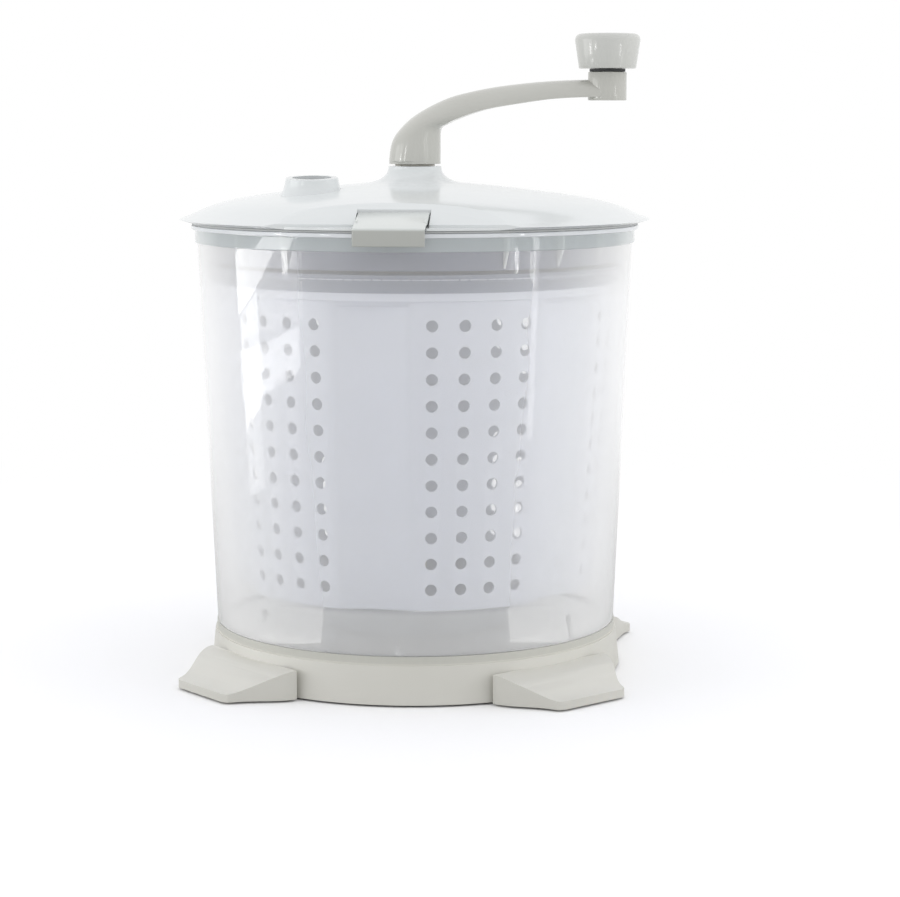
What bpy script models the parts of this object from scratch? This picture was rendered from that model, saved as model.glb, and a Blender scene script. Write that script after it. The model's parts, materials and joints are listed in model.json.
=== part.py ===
"""Hand-cranked washing machine: clear tub, perforated basket, domed lid and crank.

Metres, +Z up. The origin is on the surface it stands on, at the tub's axis. The front latch
faces -Y, and the crank arm at rest points along +X.
"""

import math

import bmesh
import bpy
from mathutils import Matrix, Vector

# Gaps and facets
FIT_GAP = 0.0003            # between pieces that touch
RUNNING_GAP = 0.00025       # all round a shaft that turns in a bore
CUT_OVERRUN = 0.004         # how far every cutter runs past the face it cuts
WELD_DEPTH = 0.0008         # how far a joined shape sinks into its carrier
MERGE_DISTANCE = 0.00001
LARGE_FACETS = 40
MEDIUM_FACETS = 24
SMALL_FACETS = 12
HOLE_FACETS = 6
ARM_FACETS = 18

# Base housing
CUP_STAND = 0.0015          # height of the base's lower edge above the surface
BASE_HEIGHT = 0.0260
BASE_SHOULDER_RADIUS = 0.1433
BASE_FLARE = 0.0027         # of its lower edge beyond the shoulder
BASE_WALL = 0.0026
BASE_DECK = 0.0026
COLLAR_HEIGHT = 0.0059
COLLAR_SETBACK = 0.0011      # of the collar from the shoulder
COLLAR_WALL = 0.0024

# Feet
FOOT_AZIMUTH = math.radians(46)     # from the front, either side
FOOT_LENGTH = 0.0412                # from the base's shoulder to the flat tip
FOOT_TIP_WIDTH = 0.0620
FOOT_ROOT_WIDTH = 0.1020
FOOT_TIP_HEIGHT = 0.0055
FOOT_ROOT_HEIGHT = 0.0195
FOOT_CORNER = 0.0050
FOOT_STEPS = 8
CUP_INSET = 0.0235                  # of a cup's centre from the foot's tip
CUP_RADIUS = 0.0150
CUP_THICKNESS = 0.0022
CUP_HOLLOW = 0.0012
CUP_NECK_RADIUS = 0.0048
CUP_NECK_HEIGHT = 0.0035
CUP_RECESS = 0.0030
CUP_ROOM = 0.0015           # between a cup and its recess

# Tub
TUB_WALL = 0.0025
TUB_FLOOR = 0.0025
TUB_SETBACK = 0.0006        # of the tub wall from the collar
TUB_HEADROOM = 0.0202       # from the basket's top to the rim band
TUB_FLARE = 0.0113          # growth of its radius from the collar to the rim band
TUB_BEND = 0.0035
BAND_STEP = 0.0016
LIP_STEP = 0.0027
BAND_HEIGHT = 0.0092
LIP_HEIGHT = 0.0028
SCREW_BOSS_RADIUS = 0.0050
SCREW_BOSS_HEIGHT = 0.0080
SCREW_INSET = 0.0333        # of a screw's axis from the base's shoulder
SCREW_SHANK_RADIUS = 0.0018
SCREW_SHANK_LENGTH = 0.0095
SCREW_HEAD_RADIUS = 0.0038
SCREW_HEAD_HEIGHT = 0.0024

# Drain plug
PLUG_HEIGHT_Z = 0.0460
PLUG_RADIUS = 0.0080
PLUG_HEAD_RADIUS = 0.0115
PLUG_HEAD_DEPTH = 0.0040
PLUG_INNER_DEPTH = 0.0030
PLUG_TAB_RADIUS = 0.0045
PLUG_TAB_DEPTH = 0.0060

# Pedestal and pivot
PEDESTAL_RADIUS = 0.0665
PEDESTAL_HEIGHT = 0.0259
PEDESTAL_WALL = 0.0026
PEDESTAL_CHAMFER = 0.0015
PEDESTAL_CORE_RADIUS = 0.0130
PIN_RADIUS = 0.0040
PIN_FLOOR = 0.0030
PIN_STAND = 0.0195          # height of the pin above the pedestal
WASHER_RADIUS = 0.0200
WASHER_THICKNESS = 0.0018

# Basket
BASKET_HEIGHT = 0.2211      # from its floor to the top of its flange
BASKET_CLEARANCE = 0.0044   # between its flange and the tub's mouth
BASKET_TAPER = 0.0683       # growth of the radius for each unit of height
BASKET_WALL = 0.0022
BASKET_FLOOR = 0.0025
BASKET_PAD_HEIGHT = 0.0012
BASKET_PAD_RADIUS = 0.0210
BASKET_EDGE = 0.0026
PANELS = 6
PANEL_COLUMNS = 4
COLUMN_PITCH = math.radians(9)
FIRST_PANEL_AZIMUTH = math.radians(24.1)    # from the front, centre of a panel
ROW_PITCH = 0.01772
FIRST_ROW_HEIGHT = 0.0154   # above the basket's lower edge
HOLE_RADIUS = 0.0040
FLUTE_DEPTH_SHARE = 0.055   # of the basket's radius
FLUTE_END = 0.0034          # from the top of the flutes to the neck
NECK_HEIGHT = 0.0106        # below the flange
NECK_STEP_OUT = 0.0021      # of the neck from the wall
NECK_STEP = 0.0008
FLANGE_THICKNESS = 0.0022
FLANGE_WIDTH = 0.0027       # of the flange from the neck
HUB_RADIUS = 0.0150
HUB_TOP_RADIUS = 0.0120
HUB_HEIGHT = 0.0230
HUB_ROOF = 0.0030
BUSH_WALL = 0.0036
DRAIN_HOLES = 12
DRAIN_RING_RADIUS = 0.0900

# Drive plate
PLATE_THICKNESS = 0.0022
PLATE_RIM_HEIGHT = 0.0046
PLATE_SPIGOT_WALL = 0.0022
PLATE_SPIGOT_DEPTH = 0.0080
PLATE_HUB_RADIUS = 0.0155
PLATE_HUB_HEIGHT = 0.0350
PLATE_HUB_SINK = 0.0032
PLATE_HOLES = 12
PLATE_HOLE_RADIUS = 0.0140
PLATE_HOLE_RING = 0.0800
PLATE_SCREW_RADIUS = 0.0020
PLATE_SCREW_LENGTH = 0.0150
PLATE_SCREW_HEAD = 0.0046
KEYS = 6
KEY_WIDTH = 0.0110
KEY_DEPTH = 0.0022
KEY_HEIGHT = 0.0025

# Lid
LID_OVERHANG = 0.0078       # beyond the tub's lip
LID_EDGE_RISE = 0.0019      # above the flange's underside
GASKET_THICKNESS = 0.0013
LEDGE_THICKNESS = 0.0016
LEDGE_OVERHANG = 0.0013     # beyond the tub's lip
FACET_INSET = 0.0195        # from the spigot to the wall of the pocket behind a latch
FACET_RUN = 0.0180          # from that wall out to the front edge of the sloping facet
FACET_RISE = 0.0018         # of that edge above the ledge
FACET_SLOPE = 0.6           # rise for each unit inwards
LID_WALL = 0.0022
SPIGOT_CLEARANCE = 0.0069   # to the tub's mouth
SPIGOT_DEPTH = 0.0266
GUSSET_SIDE_COUNT = 8
GUSSET_START = math.radians(30)
GUSSET_CLEARANCE = 0.0008   # to the tub's mouth
GUSSET_THICKNESS = 0.0018
GUSSET_SHOULDER = 0.0133    # depth of its full width
GUSSET_DEPTH = 0.0258
BOSS_RADIUS = 0.0186
BOSS_HEIGHT = 0.0111
DOME_HEIGHT = 0.0254        # from the lid's edge to the foot of the boss
BOSS_FILLET = 0.0094
BOSS_TUBE_RADIUS = 0.0135
BOSS_TUBE_LENGTH = 0.0275   # from the boss's top
INLET_X = -0.0660
INLET_Y = -0.0470
INLET_RADIUS = 0.0135
INLET_TOP_RADIUS = 0.0180
INLET_FOOT_RADIUS = 0.0235
INLET_SINK = 0.0048         # of the collar's foot below the slope at its centre
INLET_RISE = 0.0095
GASKET_INSET = 0.0005       # from the tub's mouth
GASKET_MARGIN = 0.0007      # from the tub's lip

# Latches
LATCH_WIDTH = 0.0470
LATCH_BACK_GAP = 0.0040     # to the wall of its pocket
LATCH_SIDE_GAP = 0.0008     # to the sides of its pocket
LATCH_OVERHANG = 0.0053     # beyond the tub's lip
LATCH_BACK_RISE = 0.0093    # above the ledge
LATCH_FOLD_DROP = 0.0002    # below the ledge
LATCH_REACH = 0.0053        # below the tub's lip
LATCH_PLATE = 0.0019
LATCH_FACE = 0.0022
LATCH_SIDE = 0.0020
LATCH_SIDE_RISE = 0.0010    # of the side walls above the ledge
LATCH_HOOK_HEIGHT = 0.0030
LATCH_HOOK_WIDTH = 0.0180
LATCH_PIVOT_INSET = 0.0050  # from its back edge
LATCH_PIVOT_RISE = 0.0029   # above the ledge
LATCH_PIN_RADIUS = 0.0010
LATCH_NOTCH_DEPTH = 0.0040  # of the gap in the lid's edge, inside the tub's lip
LUG_RADIUS = 0.0023
LUG_THICKNESS = 0.0040
LUG_INSET = 0.0010

# Crank
CRANK_REACH = 0.1344        # from the shaft to the knob's axis
CRANK_CLEARANCE = 0.0016    # between the boss and the crank's socket
SOCKET_RADIUS = 0.0181
ARM_RISE = 0.0582           # from the socket's foot to the top of the arm
ARM_DEPTH = 0.0121
ARM_HALF_WIDTH = 0.0105
POST_RADIUS = 0.0134
POST_DROP = 0.0143          # of its foot below the top of the arm
POST_RISE = 0.0052          # of its top above the arm
SHAFT_RADIUS = 0.0060
SHAFT_KEY_RADIUS = 0.0068   # of the shaft's hexagonal ends, at the corners
SHAFT_SOCKET_DEPTH = 0.0215
SHAFT_BLEND = 0.0010
BUSH_RADIUS = 0.0100
BUSH_FLANGE_RADIUS = 0.0140
BUSH_FLANGE = 0.0010
RING_RADIUS = 0.0095
RING_THICKNESS = 0.0010
GROOVE_DEPTH = 0.0010
RING_MOUTH = 0.0060

# Knob
KNOB_BOTTOM_RADIUS = 0.0198
KNOB_TOP_RADIUS = 0.0227
KNOB_HEIGHT = 0.0238
KNOB_ROUND = 0.0044
KNOB_WASHER_RADIUS = 0.0124
KNOB_WASHER_THICKNESS = 0.0018
SPINDLE_RADIUS = 0.0040
SPINDLE_SINK = 0.0120
SPINDLE_HEAD_RADIUS = 0.0065
SPINDLE_HEAD_HEIGHT = 0.0035
KNOB_CAP_RADIUS = 0.0090
KNOB_CAP_THICKNESS = 0.0026
KNOB_SHELF = 0.0154         # height of the spindle head's seat inside the knob

# Heights and radii that follow
base_bottom_z = CUP_STAND
deck_top_z = base_bottom_z + BASE_HEIGHT
collar_top_z = deck_top_z + COLLAR_HEIGHT
tub_floor_z = deck_top_z + FIT_GAP
tub_inside_z = tub_floor_z + TUB_FLOOR
tub_step_z = collar_top_z + FIT_GAP

base_bottom_radius = BASE_SHOULDER_RADIUS + BASE_FLARE
foot_reach = BASE_SHOULDER_RADIUS + FOOT_LENGTH
cup_reach = foot_reach - CUP_INSET
screw_reach = BASE_SHOULDER_RADIUS - SCREW_INSET
collar_radius = BASE_SHOULDER_RADIUS - COLLAR_SETBACK
tub_base_radius = collar_radius - TUB_SETBACK
tub_top_radius = tub_base_radius + TUB_FLARE
tub_mouth_radius = tub_top_radius - TUB_WALL
band_radius = tub_top_radius + BAND_STEP
lip_radius = band_radius + LIP_STEP

pedestal_bottom_z = tub_inside_z + FIT_GAP
pedestal_top_z = pedestal_bottom_z + PEDESTAL_HEIGHT
washer_bottom_z = pedestal_top_z + FIT_GAP
basket_pad_z = washer_bottom_z + WASHER_THICKNESS + FIT_GAP
basket_bottom_z = basket_pad_z + BASKET_PAD_HEIGHT
basket_inside_z = basket_bottom_z + BASKET_FLOOR
basket_top_z = basket_bottom_z + BASKET_HEIGHT
flange_z = basket_top_z - FLANGE_THICKNESS
neck_z = flange_z - NECK_HEIGHT
flute_top_z = neck_z - FLUTE_END
flange_radius = tub_mouth_radius - BASKET_CLEARANCE
neck_radius = flange_radius - FLANGE_WIDTH
basket_mouth_radius = neck_radius - BASKET_WALL

band_bottom_z = basket_top_z + TUB_HEADROOM
lip_bottom_z = band_bottom_z + BAND_HEIGHT
rim_top_z = lip_bottom_z + LIP_HEIGHT

plate_rim_z = basket_top_z + FIT_GAP
plate_top_z = plate_rim_z + PLATE_RIM_HEIGHT
plate_under_z = plate_top_z - PLATE_THICKNESS
plate_hub_bottom_z = plate_under_z - PLATE_HUB_SINK
plate_hub_top_z = plate_hub_bottom_z + PLATE_HUB_HEIGHT
shaft_bottom_z = plate_hub_bottom_z + PLATE_HUB_SINK + FIT_GAP

flange_under_z = rim_top_z + GASKET_THICKNESS + 2 * FIT_GAP
ledge_top_z = flange_under_z + LEDGE_THICKNESS
lid_edge_z = flange_under_z + LID_EDGE_RISE
boss_foot_z = lid_edge_z + DOME_HEIGHT
boss_top_z = boss_foot_z + BOSS_HEIGHT
boss_tube_bottom_z = boss_top_z - BOSS_TUBE_LENGTH
spigot_bottom_z = flange_under_z - SPIGOT_DEPTH
gusset_bottom_z = flange_under_z - GUSSET_DEPTH
gusset_shoulder_z = flange_under_z - GUSSET_SHOULDER
lid_radius = lip_radius + LID_OVERHANG
ledge_radius = lip_radius + LEDGE_OVERHANG
spigot_radius = tub_mouth_radius - SPIGOT_CLEARANCE
gusset_radius = tub_mouth_radius - GUSSET_CLEARANCE
facet_distance = spigot_radius - FACET_INSET
facet_front = facet_distance + FACET_RUN
facet_front_z = ledge_top_z + FACET_RISE
boss_foot_radius = BOSS_RADIUS + BOSS_FILLET

latch_back = facet_distance + LATCH_BACK_GAP
latch_front = lip_radius + LATCH_OVERHANG
latch_pivot = latch_back + LATCH_PIVOT_INSET
latch_notch = lip_radius - LATCH_NOTCH_DEPTH
latch_back_z = ledge_top_z + LATCH_BACK_RISE
latch_fold_z = ledge_top_z - LATCH_FOLD_DROP
latch_bottom_z = lip_bottom_z - LATCH_REACH
latch_pivot_z = ledge_top_z + LATCH_PIVOT_RISE

socket_bottom_z = boss_top_z + CRANK_CLEARANCE
shaft_top_z = socket_bottom_z + SHAFT_SOCKET_DEPTH
arm_top_z = socket_bottom_z + ARM_RISE
post_bottom_z = arm_top_z - POST_DROP
post_top_z = arm_top_z + POST_RISE
washer_seat_z = post_top_z + FIT_GAP
knob_bottom_z = washer_seat_z + KNOB_WASHER_THICKNESS + FIT_GAP
knob_top_z = knob_bottom_z + KNOB_HEIGHT


def clear_scene():
    for thing in list(bpy.data.objects):
        bpy.data.objects.remove(thing, do_unlink=True)


# Materials

def plain_material(name, colour, roughness, metallic=0.0, transmission=0.0, alpha=1.0):
    material = bpy.data.materials.new(name)
    material.use_nodes = True
    shader = material.node_tree.nodes["Principled BSDF"]
    shader.inputs["Base Color"].default_value = (*colour, 1.0)
    shader.inputs["Roughness"].default_value = roughness
    shader.inputs["Metallic"].default_value = metallic
    shader.inputs["Transmission Weight"].default_value = transmission
    shader.inputs["Alpha"].default_value = alpha
    return material


def glossy_white_plastic(name):
    return plain_material(name, (0.78, 0.79, 0.78), 0.28)


def warm_white_plastic(name):
    return plain_material(name, (0.72, 0.72, 0.69), 0.32)


def clear_plastic(name):
    return plain_material(name, (0.86, 0.89, 0.90), 0.12, transmission=0.7, alpha=0.35)


def milky_plastic(name):
    return plain_material(name, (0.74, 0.77, 0.82), 0.40, transmission=0.15)


def steel(name):
    return plain_material(name, (0.62, 0.63, 0.64), 0.30, metallic=1.0)


def pale_rubber(name):
    return plain_material(name, (0.60, 0.61, 0.61), 0.75)


def dark_rubber(name):
    return plain_material(name, (0.06, 0.06, 0.07), 0.70)


def pale_nylon(name):
    return plain_material(name, (0.70, 0.69, 0.65), 0.50)


# Shapes

def bore_radius(shaft_radius, facets, gap=RUNNING_GAP):
    """Corner radius of a faceted bore whose flats clear a turning shaft."""
    return (shaft_radius + gap) / math.cos(math.pi / facets)


def place_mesh(name, mesh, material, smooth_angle=math.radians(35)):
    thing = bpy.data.objects.new(name, mesh)
    bpy.context.scene.collection.objects.link(thing)
    if material is not None:
        mesh.materials.append(material(name + "_material"))
    mesh.shade_smooth()
    mesh.set_sharp_from_angle(angle=smooth_angle)
    return thing


def flatten_caps(work):
    """Turn each flat fan about the Z axis into one face."""
    bmesh.ops.remove_doubles(work, verts=work.verts, dist=MERGE_DISTANCE)
    for corner in [vert for vert in work.verts if math.hypot(vert.co.x, vert.co.y) < MERGE_DISTANCE]:
        rims = [edge.other_vert(corner).co.z for edge in corner.link_edges]
        if max(rims) - min(rims) < MERGE_DISTANCE and abs(rims[0] - corner.co.z) < MERGE_DISTANCE:
            bmesh.ops.dissolve_verts(work, verts=[corner])


def finish_mesh(name, work, material):
    bmesh.ops.remove_doubles(work, verts=work.verts, dist=MERGE_DISTANCE)
    bmesh.ops.recalc_face_normals(work, faces=work.faces)
    mesh = bpy.data.meshes.new(name)
    work.to_mesh(mesh)
    work.free()
    return place_mesh(name, mesh, material)


def spin_outline(work, outline, facets, phase=0.0):
    """Turn a closed outline of (radius, height) points about Z into a closed skin."""
    corners = [work.verts.new((radius, 0, height)) for radius, height in outline]
    pairs = [(corners[i - 1], corners[i]) for i in range(len(corners))]
    edges = [work.edges.new(pair) for pair in pairs if pair[0].co.x > 0 or pair[1].co.x > 0]
    loop = corners + edges
    bmesh.ops.rotate(work, verts=corners, cent=(0, 0, 0), matrix=Matrix.Rotation(phase, 3, "Z"))
    bmesh.ops.spin(work, geom=loop, cent=(0, 0, 0), axis=(0, 0, 1), dvec=(0, 0, 0),
                   angle=math.tau, steps=facets, use_merge=True, use_duplicate=False)
    flatten_caps(work)


def turned(name, outline, facets, material, phase=0.0):
    work = bmesh.new()
    spin_outline(work, outline, facets, phase)
    return finish_mesh(name, work, material)


def add_prism(work, section, low, high, placing=Matrix.Identity(4)):
    """Extrude a flat (x, y) outline from one height to another, then place it."""
    corners = [work.verts.new((x, y, low)) for x, y in section]
    floor = work.faces.new(corners)
    grown = bmesh.ops.extrude_face_region(work, geom=[floor])
    lifted = [item for item in grown["geom"] if isinstance(item, bmesh.types.BMVert)]
    bmesh.ops.translate(work, verts=lifted, vec=(0, 0, high - low))
    bmesh.ops.transform(work, verts=corners + lifted, matrix=placing)


def round_section(radius, facets, phase=0.0):
    angles = [phase + math.tau * k / facets for k in range(facets)]
    return [(radius * math.cos(angle), radius * math.sin(angle)) for angle in angles]


def box_section(low_x, high_x, low_y, high_y):
    return [(low_x, low_y), (high_x, low_y), (high_x, high_y), (low_x, high_y)]


def helper(work, name):
    """A hidden shape that a Boolean uses."""
    thing = finish_mesh(name, work, None)
    thing.hide_render = True
    thing.display_type = "WIRE"
    return thing


def combine(thing, other, operation):
    modifier = thing.modifiers.new(other.name, "BOOLEAN")
    modifier.operation = operation
    modifier.solver = "EXACT"
    modifier.object = other


def empty_at(name, place, parent=None):
    axis = bpy.data.objects.new(name, None)
    bpy.context.scene.collection.objects.link(axis)
    axis.location = place
    axis.parent = parent
    return axis


def azimuth_turn(azimuth):
    """Rotation that carries the front direction (-Y) to an azimuth to its right."""
    return Matrix.Rotation(azimuth, 4, "Z")


# Base and feet

def foot_half_width(share):
    """Half the foot's width at a share of the way from its root to its tip."""
    sweep = (1 + math.cos(math.pi * share)) / 2
    return (FOOT_TIP_WIDTH + (FOOT_ROOT_WIDTH - FOOT_TIP_WIDTH) * sweep) / 2


def foot_height(share):
    sweep = (1 + math.cos(math.pi * share)) / 2
    return FOOT_TIP_HEIGHT + (FOOT_ROOT_HEIGHT - FOOT_TIP_HEIGHT) * sweep


def add_foot(work, azimuth):
    """A splayed foot that narrows and falls away from the base wall in S curves."""
    root = BASE_SHOULDER_RADIUS - BASE_WALL
    placing = azimuth_turn(azimuth)
    tip_start = foot_reach - FOOT_CORNER
    rings = []
    for step in range(FOOT_STEPS + 2):
        share = min(step / FOOT_STEPS, 1)
        reach = root + (tip_start - root) * share
        half = foot_half_width(share)
        if step > FOOT_STEPS:
            reach = foot_reach
            half = half - FOOT_CORNER
        arc = math.sqrt(max(root ** 2 - half ** 2, 0)) - root
        front = -(reach + arc * (1 - share))
        top = base_bottom_z + foot_height(share)
        ring = [(-half, front, base_bottom_z), (half, front, base_bottom_z),
                (half, front, top), (-half, front, top)]
        rings.append([work.verts.new(placing @ Vector(point)) for point in ring])
    for inner, outer in zip(rings, rings[1:]):
        for k in range(4):
            work.faces.new((inner[k - 1], inner[k], outer[k], outer[k - 1]))
    work.faces.new(rings[0])
    work.faces.new(rings[-1])


def foot_azimuths():
    return [FOOT_AZIMUTH, math.pi - FOOT_AZIMUTH, math.pi + FOOT_AZIMUTH, -FOOT_AZIMUTH]


def cup_place(azimuth):
    return azimuth_turn(azimuth) @ Vector((0, -cup_reach, 0))


def base_housing():
    outline = [
        (0, deck_top_z - BASE_DECK),
        (BASE_SHOULDER_RADIUS - BASE_WALL, deck_top_z - BASE_DECK),
        (base_bottom_radius - BASE_WALL, base_bottom_z),
        (base_bottom_radius, base_bottom_z),
        (BASE_SHOULDER_RADIUS, deck_top_z),
        (collar_radius, deck_top_z),
        (collar_radius, collar_top_z),
        (collar_radius - COLLAR_WALL, collar_top_z),
        (collar_radius - COLLAR_WALL, deck_top_z),
        (0, deck_top_z),
    ]
    base = turned("base_housing", outline, LARGE_FACETS, warm_white_plastic)
    feet = bmesh.new()
    for azimuth in foot_azimuths():
        add_foot(feet, azimuth)
    combine(base, helper(feet, "feet_shape"), "UNION")
    recesses = bmesh.new()
    neck_top_z = base_bottom_z + CUP_RECESS + CUP_NECK_HEIGHT + FIT_GAP
    for azimuth in foot_azimuths():
        place = Matrix.Translation(cup_place(azimuth))
        wide = round_section(CUP_RADIUS + CUP_ROOM, MEDIUM_FACETS)
        add_prism(recesses, wide, base_bottom_z - CUT_OVERRUN, base_bottom_z + CUP_RECESS, place)
    combine(base, helper(recesses, "cup_recess_shape"), "DIFFERENCE")
    necks = bmesh.new()
    for azimuth in foot_azimuths():
        place = Matrix.Translation(cup_place(azimuth))
        narrow = round_section(CUP_NECK_RADIUS + FIT_GAP, SMALL_FACETS)
        add_prism(necks, narrow, base_bottom_z, neck_top_z, place)
    combine(base, helper(necks, "cup_neck_shape"), "DIFFERENCE")
    holes = bmesh.new()
    for azimuth in screw_azimuths():
        place = azimuth_turn(azimuth) @ Matrix.Translation((0, -screw_reach, 0))
        narrow = round_section(SCREW_SHANK_RADIUS + FIT_GAP, SMALL_FACETS)
        add_prism(holes, narrow, deck_top_z - BASE_DECK - CUT_OVERRUN, deck_top_z + CUT_OVERRUN, place)
    combine(base, helper(holes, "deck_hole_shape"), "DIFFERENCE")


def screw_azimuths():
    return [math.tau * k / 4 for k in range(4)]


def suction_cup(number, azimuth):
    rim_z = 0
    roof_z = base_bottom_z + CUP_RECESS - FIT_GAP
    outline = [
        (0, rim_z + CUP_HOLLOW),
        (CUP_RADIUS / 2, rim_z + CUP_HOLLOW),
        (CUP_RADIUS - CUP_HOLLOW, rim_z),
        (CUP_RADIUS, rim_z),
        (CUP_RADIUS, rim_z + CUP_THICKNESS / 2),
        (CUP_RADIUS / 2, roof_z),
        (CUP_NECK_RADIUS, roof_z),
        (CUP_NECK_RADIUS, roof_z + CUP_NECK_HEIGHT),
        (0, roof_z + CUP_NECK_HEIGHT),
    ]
    cup = turned("suction_cup_" + str(number), outline, SMALL_FACETS, pale_rubber)
    cup.location = cup_place(azimuth)


def base_screw(number, azimuth):
    seat_z = deck_top_z - BASE_DECK - FIT_GAP
    outline = [
        (0, seat_z - SCREW_HEAD_HEIGHT),
        (SCREW_HEAD_RADIUS, seat_z - SCREW_HEAD_HEIGHT / 2),
        (SCREW_HEAD_RADIUS, seat_z),
        (SCREW_SHANK_RADIUS, seat_z),
        (SCREW_SHANK_RADIUS, seat_z + SCREW_SHANK_LENGTH),
        (0, seat_z + SCREW_SHANK_LENGTH + SCREW_SHANK_RADIUS / 2),
    ]
    screw = turned("base_screw_" + str(number), outline, SMALL_FACETS, steel)
    screw.location = azimuth_turn(azimuth) @ Vector((0, -screw_reach, 0))


# Tub

def tub_outer_radius(height):
    rise = (height - tub_step_z) / (band_bottom_z - tub_step_z)
    return tub_base_radius + (tub_top_radius - tub_base_radius) * rise


def outer_tub():
    seat_radius = collar_radius - COLLAR_WALL - FIT_GAP
    bend_z = tub_step_z + TUB_BEND
    outline = [
        (0, tub_floor_z),
        (seat_radius, tub_floor_z),
        (seat_radius, tub_step_z),
        (tub_base_radius, tub_step_z),
        (tub_top_radius, band_bottom_z),
        (band_radius, band_bottom_z),
        (band_radius, lip_bottom_z),
        (lip_radius, lip_bottom_z),
        (lip_radius, rim_top_z),
        (tub_mouth_radius, rim_top_z),
        (tub_mouth_radius, band_bottom_z),
        (tub_outer_radius(bend_z) - TUB_WALL, bend_z),
        (seat_radius - TUB_WALL, tub_inside_z),
        (0, tub_inside_z),
    ]
    tub = turned("outer_tub", outline, LARGE_FACETS, clear_plastic)
    bosses = bmesh.new()
    for azimuth in screw_azimuths():
        place = azimuth_turn(azimuth) @ Matrix.Translation((0, -screw_reach, 0))
        section = round_section(SCREW_BOSS_RADIUS, SMALL_FACETS)
        add_prism(bosses, section, tub_inside_z - WELD_DEPTH, tub_inside_z + SCREW_BOSS_HEIGHT, place)
    combine(tub, helper(bosses, "screw_boss_shape"), "UNION")
    holes = bmesh.new()
    screw_tip_z = deck_top_z - BASE_DECK - FIT_GAP + SCREW_SHANK_LENGTH + SCREW_SHANK_RADIUS / 2
    for azimuth in screw_azimuths():
        place = azimuth_turn(azimuth) @ Matrix.Translation((0, -screw_reach, 0))
        section = round_section(SCREW_SHANK_RADIUS + FIT_GAP, SMALL_FACETS)
        add_prism(holes, section, tub_floor_z - CUT_OVERRUN, screw_tip_z + FIT_GAP, place)
    combine(tub, helper(holes, "screw_hole_shape"), "DIFFERENCE")
    drain = bmesh.new()
    section = round_section(PLUG_RADIUS + FIT_GAP, MEDIUM_FACETS)
    wall = tub_outer_radius(PLUG_HEIGHT_Z)
    add_prism(drain, section, wall - TUB_WALL - CUT_OVERRUN, wall + CUT_OVERRUN, rearward(PLUG_HEIGHT_Z))
    combine(tub, helper(drain, "drain_hole_shape"), "DIFFERENCE")


def rearward(height):
    """Carries +Z to +Y, at a height on the tub's axis."""
    return Matrix.Translation((0, 0, height)) @ Matrix.Rotation(-math.pi / 2, 4, "X")


def drain_plug():
    flat = math.cos(math.pi / LARGE_FACETS)
    seat = tub_outer_radius(PLUG_HEIGHT_Z + PLUG_HEAD_RADIUS) + FIT_GAP
    inner = (tub_outer_radius(PLUG_HEIGHT_Z) - TUB_WALL) * flat - PLUG_INNER_DEPTH
    outline = [
        (0, inner),
        (PLUG_RADIUS - FIT_GAP, inner),
        (PLUG_RADIUS, inner + PLUG_INNER_DEPTH),
        (PLUG_RADIUS, seat),
        (PLUG_HEAD_RADIUS, seat),
        (PLUG_HEAD_RADIUS, seat + PLUG_HEAD_DEPTH),
        (PLUG_TAB_RADIUS, seat + PLUG_HEAD_DEPTH),
        (PLUG_TAB_RADIUS, seat + PLUG_HEAD_DEPTH + PLUG_TAB_DEPTH),
        (0, seat + PLUG_HEAD_DEPTH + PLUG_TAB_DEPTH),
    ]
    plug = turned("drain_plug", outline, SMALL_FACETS, pale_rubber)
    plug.data.transform(Matrix.Rotation(-math.pi / 2, 4, "X"))
    plug.location = (0, 0, PLUG_HEIGHT_Z)


# Pedestal and pivot

def bearing_pedestal():
    pin_bore = PIN_RADIUS + FIT_GAP
    inside = PEDESTAL_RADIUS - PEDESTAL_WALL
    outline = [
        (pin_bore, pedestal_top_z),
        (pin_bore, pedestal_bottom_z + PIN_FLOOR),
        (0, pedestal_bottom_z + PIN_FLOOR),
        (0, pedestal_bottom_z),
        (PEDESTAL_CORE_RADIUS, pedestal_bottom_z),
        (PEDESTAL_CORE_RADIUS, pedestal_top_z - PEDESTAL_WALL),
        (inside, pedestal_top_z - PEDESTAL_WALL),
        (inside, pedestal_bottom_z),
        (PEDESTAL_RADIUS, pedestal_bottom_z),
        (PEDESTAL_RADIUS, pedestal_top_z - PEDESTAL_CHAMFER),
        (PEDESTAL_RADIUS - PEDESTAL_CHAMFER, pedestal_top_z),
    ]
    turned("bearing_pedestal", outline, MEDIUM_FACETS, milky_plastic)


def pivot_pin():
    low = pedestal_bottom_z + PIN_FLOOR + FIT_GAP
    high = pedestal_top_z + PIN_STAND
    outline = [
        (0, low),
        (PIN_RADIUS, low),
        (PIN_RADIUS, high - PIN_RADIUS / 2),
        (PIN_RADIUS / 2, high),
        (0, high),
    ]
    turned("pivot_pin", outline, SMALL_FACETS, steel)


def thrust_washer():
    inner = bore_radius(PIN_RADIUS, SMALL_FACETS)
    high = washer_bottom_z + WASHER_THICKNESS
    outline = [(inner, washer_bottom_z), (WASHER_RADIUS, washer_bottom_z),
               (WASHER_RADIUS, high), (inner, high)]
    turned("thrust_washer", outline, SMALL_FACETS, pale_nylon)


# Basket

def flute_shares():
    """Depth of a flute at its upright edges, from one side to the other."""
    return [0.0, 0.7, 1.0, 0.7]


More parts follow.
